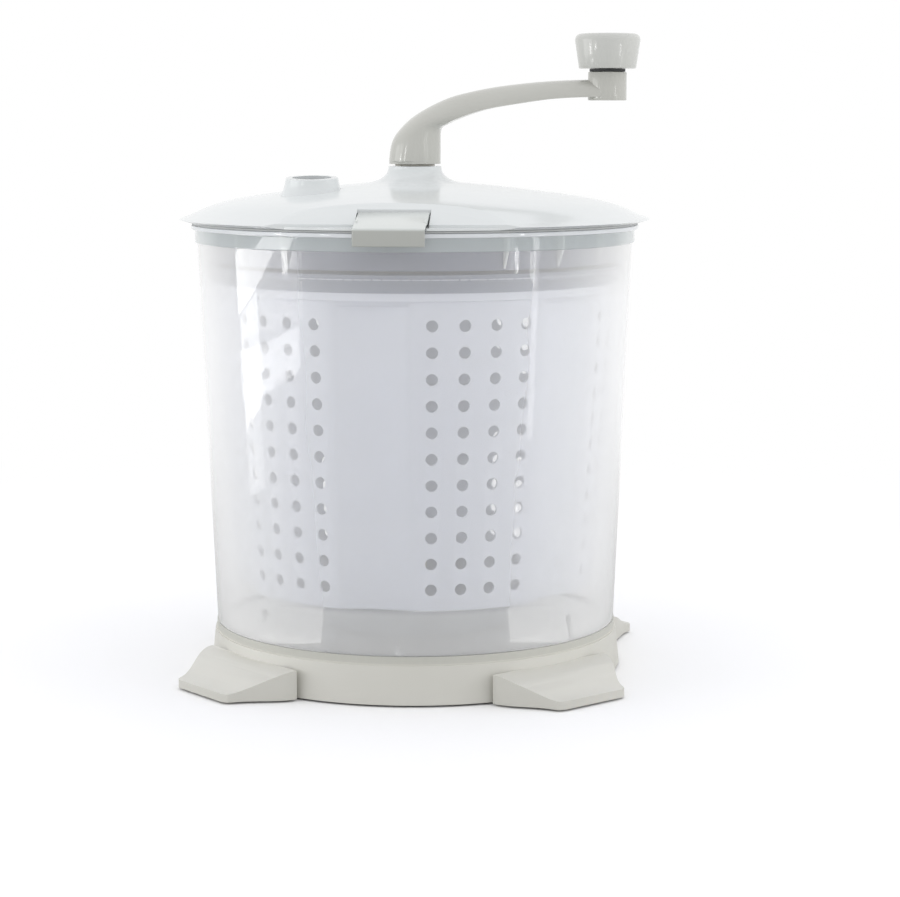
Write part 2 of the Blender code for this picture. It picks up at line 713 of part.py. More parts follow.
def basket_azimuths():
    """Corner azimuths round the basket and their flute shares, panel by panel."""
    corners = []
    depth_shares = flute_shares()
    for panel in range(PANELS):
        start = FIRST_PANEL_AZIMUTH + math.tau * panel / PANELS - COLUMN_PITCH * PANEL_COLUMNS / 2
        for column in range(PANEL_COLUMNS):
            corners.append((start + COLUMN_PITCH * column, 0.0))
        end = start + COLUMN_PITCH * PANEL_COLUMNS
        flute_width = math.tau / PANELS - COLUMN_PITCH * PANEL_COLUMNS
        for step, share in enumerate(depth_shares):
            corners.append((end + flute_width * step / len(depth_shares), FLUTE_DEPTH_SHARE * share))
    return corners


def basket_radius(height):
    return neck_radius - NECK_STEP_OUT - BASKET_TAPER * (neck_z - height)


def basket_ring(work, radius, height, corners, fluted):
    ring = []
    for azimuth, depth in corners:
        reach = radius * (1 - depth * fluted)
        point = azimuth_turn(azimuth) @ Vector((0, -reach, height))
        ring.append(work.verts.new(point))
    return ring


def band_between(work, low, high):
    count = len(low)
    for k in range(count):
        after = (k + 1) % count
        work.faces.new((low[k], low[after], high[after], high[k]))


def hole_corners(work, low, high, row_z):
    """A hexagon of corners in the flat facet between two upright edges."""
    share = (row_z - low[0].co.z) / (high[0].co.z - low[0].co.z)
    left = low[0].co.lerp(high[0].co, share)
    right = low[1].co.lerp(high[1].co, share)
    centre = (left + right) / 2
    across = (right - left).normalized()
    up = ((high[0].co + high[1].co) - (low[0].co + low[1].co)).normalized()
    return [work.verts.new(centre + HOLE_RADIUS * (across * math.cos(math.tau * k / HOLE_FACETS)
                                                   + up * math.sin(math.tau * k / HOLE_FACETS)))
            for k in range(HOLE_FACETS)]


def perforated_facet(work, low, high):
    """Fill one flat facet of a panel, leaving its column of six-sided holes open."""
    first_row_z = basket_bottom_z + FIRST_ROW_HEIGHT
    rows = 1 + int((flute_top_z - HOLE_RADIUS - first_row_z) // ROW_PITCH)
    holes = [hole_corners(work, low, high, first_row_z + ROW_PITCH * row) for row in range(rows)]
    right_chain = [corner for hole in holes for corner in (hole[5], hole[0], hole[1])]
    left_chain = [corner for hole in reversed(holes) for corner in (hole[2], hole[3], hole[4])]
    work.faces.new([low[1], high[1]] + right_chain[::-1])
    work.faces.new([high[0], low[0]] + left_chain[::-1])
    work.faces.new((low[0], low[1], holes[0][5], holes[0][4]))
    work.faces.new((holes[-1][2], holes[-1][1], high[1], high[0]))
    for below, above in zip(holes, holes[1:]):
        work.faces.new((below[2], below[1], above[5], above[4]))
    return holes


def perforated_band(work, low, high):
    """The panels' facets between two rings, with the flutes' facets left plain."""
    holes = []
    count = len(low)
    block = PANEL_COLUMNS + len(flute_shares())
    for k in range(count):
        after = (k + 1) % count
        if k % block < PANEL_COLUMNS:
            holes += perforated_facet(work, (low[k], low[after]), (high[k], high[after]))
        else:
            work.faces.new((low[k], low[after], high[after], high[k]))
    return holes


def inner_floor(work, ring, hub):
    """Join a ring to a hub ring that has half as many corners."""
    count = len(hub)
    for k in range(count):
        after = (k + 1) % count
        far = (2 * k + 2) % len(ring)
        work.faces.new((ring[2 * k], ring[2 * k + 1], ring[far], hub[after], hub[k]))


def wash_basket():
    work = bmesh.new()
    corners = basket_azimuths()
    inner_edge_z = basket_inside_z
    outer = [
        basket_ring(work, basket_radius(basket_bottom_z) - BASKET_EDGE, basket_bottom_z, corners, 1),
        basket_ring(work, basket_radius(basket_bottom_z + BASKET_EDGE), basket_bottom_z + BASKET_EDGE,
                    corners, 1),
        basket_ring(work, basket_radius(flute_top_z), flute_top_z, corners, 1),
        basket_ring(work, basket_radius(neck_z), neck_z, corners, 0),
        basket_ring(work, neck_radius, neck_z + NECK_STEP, corners, 0),
        basket_ring(work, neck_radius, flange_z, corners, 0),
        basket_ring(work, flange_radius, flange_z, corners, 0),
        basket_ring(work, flange_radius, basket_top_z, corners, 0),
        basket_ring(work, basket_mouth_radius, basket_top_z, corners, 0),
        basket_ring(work, basket_mouth_radius, neck_z + BASKET_WALL, corners, 0),
        basket_ring(work, basket_radius(flute_top_z) - BASKET_WALL, flute_top_z, corners, 1),
        basket_ring(work, basket_radius(inner_edge_z) - BASKET_WALL, inner_edge_z, corners, 1),
    ]
    outer_holes = perforated_band(work, outer[1], outer[2])
    inner_holes = perforated_band(work, outer[-1], outer[-2])
    band_between(work, outer[0], outer[1])
    for low, high in zip(outer[2:-2], outer[3:-1]):
        band_between(work, low, high)
    for near, far in zip(outer_holes, inner_holes):
        band_between(work, near, far)
    hub_corners = corners[::2]
    bush_bore = bore_radius(PIN_RADIUS, SMALL_FACETS) + BUSH_WALL + FIT_GAP
    hub_top_z = basket_inside_z + HUB_HEIGHT
    hub = [
        basket_ring(work, BASKET_PAD_RADIUS, basket_bottom_z, hub_corners, 0),
        basket_ring(work, BASKET_PAD_RADIUS - BASKET_PAD_HEIGHT, basket_pad_z, hub_corners, 0),
        basket_ring(work, bush_bore, basket_pad_z, hub_corners, 0),
        basket_ring(work, bush_bore, hub_top_z - HUB_ROOF, hub_corners, 0),
    ]
    for low, high in zip(hub, hub[1:]):
        band_between(work, low, high)
    work.faces.new(hub[-1])
    inner_floor(work, outer[0], hub[0])
    top = [
        basket_ring(work, HUB_RADIUS + BASKET_EDGE, basket_inside_z, hub_corners, 0),
        basket_ring(work, HUB_RADIUS, basket_inside_z + BASKET_EDGE, hub_corners, 0),
        basket_ring(work, HUB_TOP_RADIUS, hub_top_z, hub_corners, 0),
    ]
    for low, high in zip(top, top[1:]):
        band_between(work, low, high)
    work.faces.new(top[-1])
    inner_floor(work, outer[-1], top[0])
    basket = finish_mesh("wash_basket", work, milky_plastic)
    cuts = bmesh.new()
    for k in range(DRAIN_HOLES):
        place = azimuth_turn(math.tau * k / DRAIN_HOLES) @ Matrix.Translation((0, -DRAIN_RING_RADIUS, 0))
        section = round_section(HOLE_RADIUS, HOLE_FACETS)
        add_prism(cuts, section, basket_bottom_z - CUT_OVERRUN, basket_inside_z + CUT_OVERRUN, place)
    for k in range(KEYS):
        place = azimuth_turn(key_azimuth(k))
        reach = basket_mouth_radius + KEY_DEPTH + FIT_GAP
        section = box_section(-KEY_WIDTH / 2 - FIT_GAP, KEY_WIDTH / 2 + FIT_GAP,
                              -reach, -basket_mouth_radius + CUT_OVERRUN)
        add_prism(cuts, section, basket_top_z - KEY_HEIGHT, basket_top_z + CUT_OVERRUN, place)
    combine(basket, helper(cuts, "basket_cut_shape"), "DIFFERENCE")
    return basket


def key_azimuth(number):
    """Azimuth of the key between two panels' centres, where a flute lies."""
    return FIRST_PANEL_AZIMUTH + math.tau * (number + 0.5) / KEYS


def basket_bush():
    inner = bore_radius(PIN_RADIUS, SMALL_FACETS)
    low = basket_pad_z + FIT_GAP
    high = basket_inside_z + HUB_HEIGHT - HUB_ROOF - FIT_GAP
    outline = [(inner, low), (inner + BUSH_WALL, low), (inner + BUSH_WALL, high), (inner, high)]
    first = basket_azimuths()[0][0] - math.pi / 2
    turned("basket_bush", outline, MEDIUM_FACETS, pale_nylon, first)


# Drive plate

def drive_plate():
    spigot = basket_mouth_radius - FIT_GAP * 2
    corner = flange_radius
    key_reach = key_bore_radius()
    outline = [
        (0, plate_hub_bottom_z),
        (PLATE_HUB_RADIUS, plate_hub_bottom_z),
        (PLATE_HUB_RADIUS, plate_under_z),
        (spigot - PLATE_SPIGOT_WALL, plate_under_z),
        (spigot - PLATE_SPIGOT_WALL, plate_rim_z - PLATE_SPIGOT_DEPTH),
        (spigot, plate_rim_z - PLATE_SPIGOT_DEPTH),
        (spigot, plate_rim_z),
        (corner, plate_rim_z),
        (corner, plate_top_z),
        (PLATE_HUB_RADIUS, plate_top_z),
        (key_reach + PLATE_SPIGOT_WALL, plate_hub_top_z),
        (0, plate_hub_top_z),
    ]
    plate = turned("drive_plate", outline, LARGE_FACETS, milky_plastic)
    keys = bmesh.new()
    for k in range(KEYS):
        reach = basket_mouth_radius + KEY_DEPTH
        section = box_section(-KEY_WIDTH / 2, KEY_WIDTH / 2, -reach, -spigot + PLATE_SPIGOT_WALL / 2)
        low = basket_top_z - KEY_HEIGHT + FIT_GAP
        add_prism(keys, section, low, plate_rim_z + WELD_DEPTH, azimuth_turn(key_azimuth(k)))
    combine(plate, helper(keys, "plate_key_shape"), "UNION")
    holes = bmesh.new()
    for k in range(PLATE_HOLES):
        place = azimuth_turn(math.tau * k / PLATE_HOLES) @ Matrix.Translation((0, -PLATE_HOLE_RING, 0))
        section = round_section(PLATE_HOLE_RADIUS, SMALL_FACETS)
        add_prism(holes, section, plate_under_z - CUT_OVERRUN, plate_top_z + CUT_OVERRUN, place)
    section = round_section(PLATE_SCREW_RADIUS + FIT_GAP, SMALL_FACETS)
    add_prism(holes, section, plate_hub_bottom_z - CUT_OVERRUN, shaft_bottom_z)
    combine(plate, helper(holes, "plate_hole_shape"), "DIFFERENCE")
    bore = bmesh.new()
    section = round_section(key_reach, HOLE_FACETS)
    add_prism(bore, section, shaft_bottom_z - FIT_GAP, plate_hub_top_z + CUT_OVERRUN)
    combine(plate, helper(bore, "plate_bore_shape"), "DIFFERENCE")


def key_bore_radius():
    return SHAFT_KEY_RADIUS + FIT_GAP / math.cos(math.pi / HOLE_FACETS)


def plate_screw():
    seat_z = plate_hub_bottom_z - FIT_GAP
    outline = [
        (0, seat_z - SCREW_HEAD_HEIGHT),
        (PLATE_SCREW_HEAD, seat_z - SCREW_HEAD_HEIGHT / 2),
        (PLATE_SCREW_HEAD, seat_z),
        (PLATE_SCREW_RADIUS, seat_z),
        (PLATE_SCREW_RADIUS, seat_z + PLATE_SCREW_LENGTH),
        (0, seat_z + PLATE_SCREW_LENGTH),
    ]
    turned("plate_screw", outline, SMALL_FACETS, steel)


# Shaft, bush and retaining ring

def shaft_ring(work, height, radius, hexagonal):
    """A ring of corners on a circle or, for the keyed ends, on a hexagon."""
    ring = []
    for k in range(SMALL_FACETS):
        angle = math.tau * k / SMALL_FACETS
        reach = radius
        if hexagonal and k % 2:
            reach = radius * math.cos(math.pi / HOLE_FACETS)
        ring.append(work.verts.new((reach * math.cos(angle), reach * math.sin(angle), height)))
    return ring


def drive_shaft():
    key_end_z = plate_hub_top_z + FIT_GAP
    ring_low_z = ring_bottom_z() - FIT_GAP
    ring_high_z = ring_bottom_z() + RING_THICKNESS + FIT_GAP
    neck = SHAFT_RADIUS - GROOVE_DEPTH
    levels = [
        (shaft_bottom_z, SHAFT_KEY_RADIUS, True),
        (key_end_z - SHAFT_BLEND, SHAFT_KEY_RADIUS, True),
        (key_end_z, SHAFT_RADIUS, False),
        (ring_low_z, SHAFT_RADIUS, False),
        (ring_low_z, neck, False),
        (ring_high_z, neck, False),
        (ring_high_z, SHAFT_RADIUS, False),
        (socket_bottom_z - FIT_GAP, SHAFT_RADIUS, False),
        (socket_bottom_z - FIT_GAP + SHAFT_BLEND, SHAFT_KEY_RADIUS, True),
        (shaft_top_z, SHAFT_KEY_RADIUS, True),
    ]
    work = bmesh.new()
    rings = [shaft_ring(work, *level) for level in levels]
    for low, high in zip(rings, rings[1:]):
        band_between(work, low, high)
    work.faces.new(rings[0])
    work.faces.new(rings[-1])
    shaft = finish_mesh("drive_shaft", work, steel)
    bore = bmesh.new()
    section = round_section(PLATE_SCREW_RADIUS + FIT_GAP, SMALL_FACETS)
    tip_z = plate_hub_bottom_z + PLATE_SCREW_LENGTH
    add_prism(bore, section, shaft_bottom_z - CUT_OVERRUN, tip_z + FIT_GAP)
    combine(shaft, helper(bore, "shaft_bore_shape"), "DIFFERENCE")


def ring_bottom_z():
    return boss_tube_bottom_z - BUSH_FLANGE - FIT_GAP - RING_THICKNESS


def retaining_ring():
    inner = SHAFT_RADIUS - GROOVE_DEPTH + FIT_GAP
    low = ring_bottom_z()
    high = low + RING_THICKNESS
    outline = [(inner, low), (RING_RADIUS, low), (RING_RADIUS, high), (inner, high)]
    ring = turned("retaining_ring", outline, SMALL_FACETS, steel)
    mouth = bmesh.new()
    section = box_section(0, RING_RADIUS + CUT_OVERRUN, -RING_MOUTH / 2, RING_MOUTH / 2)
    add_prism(mouth, section, low - CUT_OVERRUN, high + CUT_OVERRUN)
    combine(ring, helper(mouth, "ring_mouth_shape"), "DIFFERENCE")


def shaft_bush():
    inner = bore_radius(SHAFT_RADIUS, SMALL_FACETS)
    low = boss_tube_bottom_z - BUSH_FLANGE
    seat = boss_top_z + FIT_GAP
    outline = [
        (inner, low),
        (BUSH_RADIUS, low),
        (BUSH_RADIUS, seat),
        (BUSH_FLANGE_RADIUS, seat),
        (BUSH_FLANGE_RADIUS, seat + BUSH_FLANGE),
        (inner, seat + BUSH_FLANGE),
    ]
    turned("shaft_bush", outline, SMALL_FACETS, pale_nylon)


# Lid

def lid_top_outline():
    """The lid's upper surface from the boss to the rim, as shares of its radius and rise."""
    rise = boss_foot_z - lid_edge_z
    slope_shares = [(0.362, 0.884), (0.606, 0.693), (0.758, 0.543), (0.845, 0.409),
                    (0.912, 0.245), (0.958, 0.106), (0.996, 0.020)]
    boss_rise = boss_top_z - boss_foot_z
    boss_spread = boss_foot_radius - BOSS_RADIUS
    boss_shares = [(0.0, 0.62), (0.10, 0.36), (0.38, 0.15)]
    points = [(0, boss_top_z), (BOSS_RADIUS, boss_top_z)]
    points += [(BOSS_RADIUS + boss_spread * out, boss_foot_z + boss_rise * up) for out, up in boss_shares]
    points.append((boss_foot_radius, boss_foot_z))
    points += [(lid_radius * out, lid_edge_z + rise * up) for out, up in slope_shares]
    points.append((lid_radius, lid_edge_z))
    return points


def lid_underside(radius):
    """Height of the lid's lower face, one wall under its upper face."""
    points = lid_top_outline()[5:]
    for (near, near_z), (far, far_z) in zip(points, points[1:]):
        if near <= radius <= far:
            return near_z + (far_z - near_z) * (radius - near) / (far - near) - LID_WALL
    return boss_foot_z - LID_WALL


def cut_past_facets(work, distance, height, slope):
    """Keep only what lies under or between two planes in front and behind."""
    for side in (-1, 1):
        everything = work.verts[:] + work.edges[:] + work.faces[:]
        cut = bmesh.ops.bisect_plane(work, geom=everything, plane_co=(0, side * distance, height),
                                     plane_no=(0, side * math.cos(slope), math.sin(slope)), clear_outer=True)
        rim = [item for item in cut["geom_cut"] if isinstance(item, bmesh.types.BMEdge)]
        bmesh.ops.edgeloop_fill(work, edges=rim)


def pocket_walls():
    """The blocks that keep the hollow one wall clear of the latches' pockets."""
    work = bmesh.new()
    half = LATCH_WIDTH / 2 + LATCH_SIDE_GAP + LID_WALL
    section = box_section(-half, half, -lid_radius, LID_WALL - facet_distance)
    for turn in (0, math.pi):
        add_prism(work, section, spigot_bottom_z, boss_top_z, azimuth_turn(turn))
    return helper(work, "pocket_wall_shape")


def lid_hollow():
    """The space under the dome, one wall inside it, its facets and the latches' pockets."""
    inside = spigot_radius - LID_WALL - FIT_GAP
    floor_z = ledge_top_z - LID_WALL - WELD_DEPTH
    bend_shares = (0.606, 0.758)
    steps = [boss_foot_radius] + [lid_radius * share for share in bend_shares] + [inside]
    outline = [(0, floor_z), (0, boss_foot_z - LID_WALL)]
    outline += [(radius, lid_underside(radius)) for radius in steps]
    outline.append((inside, floor_z))
    work = bmesh.new()
    spin_outline(work, outline, LARGE_FACETS)
    square = math.pi / 2 - math.atan(FACET_SLOPE)
    cut_past_facets(work, facet_front - LID_WALL, 0, 0)
    cut_past_facets(work, facet_front, facet_front_z - LID_WALL / math.sin(square), square)
    hollow = helper(work, "lid_hollow_shape")
    combine(hollow, pocket_walls(), "DIFFERENCE")
    return hollow


def spigot_hollow():
    inside = spigot_radius - LID_WALL
    high = ledge_top_z - LID_WALL
    work = bmesh.new()
    section = round_section(inside, LARGE_FACETS)
    add_prism(work, section, spigot_bottom_z - CUT_OVERRUN, high)
    return helper(work, "spigot_hollow_shape")


def lid_body():
    outline = [
        (0, spigot_bottom_z),
        (spigot_radius, spigot_bottom_z),
        (spigot_radius, flange_under_z),
        (ledge_radius, flange_under_z),
    ]
    outline += lid_top_outline()[:0:-1]
    outline.append((0, boss_top_z))
    return turned("lid_shell", outline, LARGE_FACETS, glossy_white_plastic)


def front_and_back_cuts():
    """Two chord cuts that leave the flat ledges in front of and behind the facets."""
    outline = [
        (lid_radius / 2, ledge_top_z),
        (ledge_radius, ledge_top_z),
        (ledge_radius, flange_under_z - CUT_OVERRUN),
        (lid_radius + CUT_OVERRUN, flange_under_z - CUT_OVERRUN),
        (lid_radius + CUT_OVERRUN, boss_top_z),
        (lid_radius / 2, boss_top_z),
    ]
    cuts = []
    for side in (-1, 1):
        work = bmesh.new()
        spin_outline(work, outline, LARGE_FACETS)
        everything = work.verts[:] + work.edges[:] + work.faces[:]
        cut = bmesh.ops.bisect_plane(work, geom=everything, plane_co=(0, side * facet_front, 0),
                                     plane_no=(0, -side, 0), clear_outer=True)
        rim = [item for item in cut["geom_cut"] if isinstance(item, bmesh.types.BMEdge)]
        bmesh.ops.edgeloop_fill(work, edges=rim)
        cuts.append(helper(work, "latch_bay_shape_" + str(len(cuts))))
    return cuts


def facet_cuts():
    """The sloping facets, down to a low step above each ledge."""
    inner = facet_distance / 2
    outer = facet_front + FACET_RISE / 2
    inner_z = facet_front_z + FACET_SLOPE * (facet_front - inner)
    outer_z = facet_front_z + FACET_SLOPE * (facet_front - outer)
    section = [(outer, outer_z), (outer, inner_z), (inner, inner_z)]
    work = bmesh.new()
    for turn in (0, math.pi):
        placing = azimuth_turn(turn) @ Matrix.Rotation(-math.pi / 2, 4, "Z")
        placing = placing @ Matrix.Rotation(math.pi / 2, 4, "X")
        add_prism(work, section, -lid_radius, lid_radius, placing)
    return helper(work, "facet_shape")


def latch_pockets():
    """Upright recesses in the facets that the latches sit in."""
    work = bmesh.new()
    half = LATCH_WIDTH / 2 + LATCH_SIDE_GAP
    section = box_section(-half, half, -lid_radius, -facet_distance)
    for turn in (0, math.pi):
        add_prism(work, section, ledge_top_z, boss_top_z, azimuth_turn(turn))
    return helper(work, "latch_pocket_shape")


def gusset_azimuths():
    spread = math.pi - 2 * GUSSET_START
    one_side = [GUSSET_START + spread * k / (GUSSET_SIDE_COUNT - 1) for k in range(GUSSET_SIDE_COUNT)]
    return one_side + [-azimuth for azimuth in one_side]


def gussets():
    """Upright triangular ribs outside the spigot, wide at the top."""
    work = bmesh.new()
    top = flange_under_z + WELD_DEPTH / 2
    inner = spigot_radius - LID_WALL / 2
    section = [(inner, top), (inner, gusset_bottom_z), (spigot_radius + FIT_GAP, gusset_bottom_z),
               (gusset_radius, gusset_shoulder_z), (gusset_radius, top)]
    for azimuth in gusset_azimuths():
        placing = azimuth_turn(azimuth) @ Matrix.Rotation(-math.pi / 2, 4, "Z")
        placing = placing @ Matrix.Rotation(math.pi / 2, 4, "X")
        add_prism(work, section, -GUSSET_THICKNESS / 2, GUSSET_THICKNESS / 2, placing)
    return helper(work, "gusset_shape")


def inlet_place():
    """Where the pouring hole's axis meets the lid's slope."""
    surface_z = lid_underside(math.hypot(INLET_X, INLET_Y)) + LID_WALL
    return Matrix.Translation((INLET_X, INLET_Y, surface_z))


def inlet_collar():
    """A level ring round the pouring hole, its flared foot sunk in the slope."""
    spread = INLET_FOOT_RADIUS - INLET_TOP_RADIUS
    flare_shares = [(1.0, -0.34), (0.62, -0.10), (0.34, 0.16), (0.14, 0.52), (0.04, 0.88)]
    outline = [(0, -INLET_SINK), (INLET_FOOT_RADIUS, -INLET_SINK)]
    outline += [(INLET_TOP_RADIUS + spread * out, INLET_RISE * up) for out, up in flare_shares]
    outline += [(INLET_TOP_RADIUS - FIT_GAP, INLET_RISE), (0, INLET_RISE)]
    work = bmesh.new()
    spin_outline(work, outline, MEDIUM_FACETS)
    bmesh.ops.transform(work, verts=work.verts, matrix=inlet_place())
    return helper(work, "inlet_collar_shape")


def lid_bores():
    """The pouring hole and the shaft bush's bore."""
    work = bmesh.new()
    section = round_section(INLET_RADIUS, MEDIUM_FACETS, math.pi / MEDIUM_FACETS)
    add_prism(work, section, -INLET_SINK - CUT_OVERRUN, INLET_RISE + CUT_OVERRUN, inlet_place())
    section = round_section(BUSH_RADIUS + FIT_GAP, SMALL_FACETS)
    add_prism(work, section, boss_tube_bottom_z - CUT_OVERRUN, boss_top_z + CUT_OVERRUN)
    return helper(work, "lid_bore_shape")


def boss_tube():
    work = bmesh.new()
    section = round_section(BOSS_TUBE_RADIUS, MEDIUM_FACETS)
    add_prism(work, section, boss_tube_bottom_z, boss_foot_z)
    return helper(work, "boss_tube_shape")


def latch_notches():
    work = bmesh.new()
    half = LATCH_WIDTH / 2 + FIT_GAP * 2
    section = box_section(-half, half, -lid_radius, -latch_notch)
    for turn in (0, math.pi):
        add_prism(work, section, flange_under_z - CUT_OVERRUN, ledge_top_z + CUT_OVERRUN, azimuth_turn(turn))
    return helper(work, "latch_notch_shape")


def latch_lugs():
    """Two rounded lugs on each ledge that carry a latch's pin."""
    work = bmesh.new()
    outer = LATCH_WIDTH / 2 - LATCH_SIDE - LUG_INSET
    angles = [math.pi * k / HOLE_FACETS for k in range(HOLE_FACETS + 1)]
    arc = [(LUG_RADIUS * math.cos(angle), LUG_RADIUS * math.sin(angle)) for angle in angles]
    foot = ledge_top_z - WELD_DEPTH - latch_pivot_z
    section = arc + [(-LUG_RADIUS, foot), (LUG_RADIUS, foot)]
    for turn in (0, math.pi):
        for side in (-1, 1):
            far = side * outer
            near = side * (outer - LUG_THICKNESS)
            placing = azimuth_turn(turn) @ Matrix.Translation((0, -latch_pivot, latch_pivot_z))
            placing = placing @ Matrix.Rotation(-math.pi / 2, 4, "Z") @ Matrix.Rotation(math.pi / 2, 4, "X")
            add_prism(work, section, min(near, far), max(near, far), placing)
    return helper(work, "latch_lug_shape")


def lug_holes():
    work = bmesh.new()
    half = LATCH_WIDTH / 2
    section = round_section(LATCH_PIN_RADIUS + FIT_GAP, HOLE_FACETS)
    for turn in (0, math.pi):
        placing = azimuth_turn(turn) @ Matrix.Translation((0, -latch_pivot, latch_pivot_z))
        placing = placing @ Matrix.Rotation(math.pi / 2, 4, "Y")
        add_prism(work, section, -half, half, placing)
    return helper(work, "lug_hole_shape")


def lid_shell(parent):
    lid = lid_body()
    for cut in front_and_back_cuts():
        combine(lid, cut, "DIFFERENCE")
    combine(lid, facet_cuts(), "DIFFERENCE")
    combine(lid, latch_pockets(), "DIFFERENCE")
    combine(lid, inlet_collar(), "UNION")
    combine(lid, spigot_hollow(), "DIFFERENCE")
    combine(lid, lid_hollow(), "DIFFERENCE")
    combine(lid, gussets(), "UNION")
    combine(lid, boss_tube(), "UNION")
    combine(lid, lid_bores(), "DIFFERENCE")
    combine(lid, latch_notches(), "DIFFERENCE")
    combine(lid, latch_lugs(), "UNION")
    combine(lid, lug_holes(), "DIFFERENCE")
    lid.parent = parent


def lid_gasket(parent):
    low = rim_top_z + FIT_GAP
    high = low + GASKET_THICKNESS
    inner = tub_mouth_radius + GASKET_INSET
    outer = lip_radius - GASKET_MARGIN
    outline = [(inner, low), (outer, low), (outer, high), (inner, high)]
    gasket = turned("lid_gasket", outline, LARGE_FACETS, pale_rubber)
    gasket.parent = parent


# Latches

def latch_slope():
    return (latch_back_z - latch_fold_z) / (latch_front - latch_back)


def about_pin(points):
    return [(out - latch_pivot, up - latch_pivot_z) for out, up in points]


def latch_outline():
    """Side view of a latch about its pin: distance outward, then height."""
    inner_face = latch_front - LATCH_FACE
    return about_pin([
        (latch_back, latch_back_z),
        (latch_back, latch_back_z - LATCH_PLATE),
        (inner_face, latch_fold_z + latch_slope() * LATCH_FACE - LATCH_PLATE),
        (inner_face, latch_bottom_z),
        (latch_front, latch_bottom_z),
        (latch_front, latch_fold_z),
    ])


def latch_side_outline():
    """The latch's two side walls, from the top plate down to just above the ledge."""
    foot = ledge_top_z + LATCH_SIDE_RISE
    back = latch_back + FIT_GAP
    toe = latch_front - (foot - latch_fold_z + LATCH_PLATE / 2) / latch_slope()
    return about_pin([
        (back, latch_back_z - LATCH_PLATE / 2),
        (back, latch_pivot_z + LUG_RADIUS + LATCH_PIN_RADIUS),
        (latch_pivot - LUG_RADIUS, latch_pivot_z - LATCH_PIN_RADIUS),
        (latch_pivot, foot),
        (toe, foot),
    ])


def latch_hook_outline():
    inside = latch_front - LATCH_FACE / 2
    tip = lip_radius + FIT_GAP
    top = latch_bottom_z + LATCH_HOOK_HEIGHT
    middle = latch_bottom_z + LATCH_HOOK_HEIGHT / 2
    low = latch_bottom_z + LATCH_HOOK_HEIGHT / 4
    return about_pin([(tip, top), (tip, middle), (inside, low), (inside, top)])


def latch(name, parent):
    """An angled flap with side walls, drawn in side view and extruded along its pin."""
    sideways = Matrix.Rotation(-math.pi / 2, 4, "Z") @ Matrix.Rotation(math.pi / 2, 4, "X")
    half = LATCH_WIDTH / 2
    body = bmesh.new()
    add_prism(body, latch_outline(), -half, half, sideways)
    flap = finish_mesh(name, body, glossy_white_plastic)
    walls = bmesh.new()
    outer = half - FIT_GAP
    add_prism(walls, latch_side_outline(), -outer, -half + LATCH_SIDE, sideways)
    add_prism(walls, latch_side_outline(), half - LATCH_SIDE, outer, sideways)
    hook_half = LATCH_HOOK_WIDTH / 2
    add_prism(walls, latch_hook_outline(), -hook_half, hook_half, sideways)
    combine(flap, helper(walls, name + "_wall_shape"), "UNION")
    hole = bmesh.new()
    section = round_section(LATCH_PIN_RADIUS + FIT_GAP, HOLE_FACETS)
    add_prism(hole, section, -half - CUT_OVERRUN, half + CUT_OVERRUN, Matrix.Rotation(math.pi / 2, 4, "Y"))
    cutter = helper(hole, name + "_pin_hole_shape")
    combine(flap, cutter, "DIFFERENCE")
    for thing in (flap, bpy.data.objects[name + "_wall_shape"], cutter):
        thing.parent = parent


def latch_pin(name, parent):
    half = LATCH_WIDTH / 2 - FIT_GAP
    work = bmesh.new()
    section = round_section(LATCH_PIN_RADIUS, HOLE_FACETS)
    add_prism(work, section, -half, half, Matrix.Rotation(math.pi / 2, 4, "Y"))
    pin = finish_mesh(name, work, steel)
    pin.parent = parent


# Crank and knob

def arm_stations():
    """Upper point, lower point and half width along the socket and arm.

    Along shares run from the socket's near or far side to the knob's axis, and rise shares from
    the socket's foot to the arm's top. The width share is 1 at the socket and 0 at the arm.
    """
    shares = [
        (0.0000, 0.000, 0.0000, 0.000, 1.00),
        (0.0024, 0.130, 0.0000, 0.150, 1.00),
        (0.0173, 0.290, 0.0000, 0.330, 0.97),
        (0.0557, 0.430, 0.0027, 0.425, 0.90),
        (0.1099, 0.560, 0.0316, 0.465, 0.78),
        (0.1848, 0.680, 0.0929, 0.525, 0.60),
        (0.2774, 0.790, 0.1853, 0.595, 0.40),
        (0.3698, 0.855, 0.3009, 0.660, 0.26),
        (0.5108, 0.925, 0.4626, 0.715, 0.12),
        (0.7089, 0.980, 0.6591, 0.770, 0.04),
        (0.8852, 1.000, 0.8495, 0.792, 0.00),
    ]
    near_run = CRANK_REACH + SOCKET_RADIUS
    far_run = CRANK_REACH - SOCKET_RADIUS
    spread = SOCKET_RADIUS - ARM_HALF_WIDTH
    stations = []
    for upper_along, upper_rise, lower_along, lower_rise, width in shares:
        upper = Vector((near_run * upper_along - SOCKET_RADIUS, 0, socket_bottom_z + ARM_RISE * upper_rise))
        lower = Vector((far_run * lower_along + SOCKET_RADIUS, 0, socket_bottom_z + ARM_RISE * lower_rise))
        stations.append((upper, lower, ARM_HALF_WIDTH + spread * width))
    post_top = Vector((CRANK_REACH, 0, arm_top_z))
    post_low = Vector((CRANK_REACH, 0, arm_top_z - ARM_DEPTH))
    stations.append((post_top, post_low, ARM_HALF_WIDTH))
    return stations


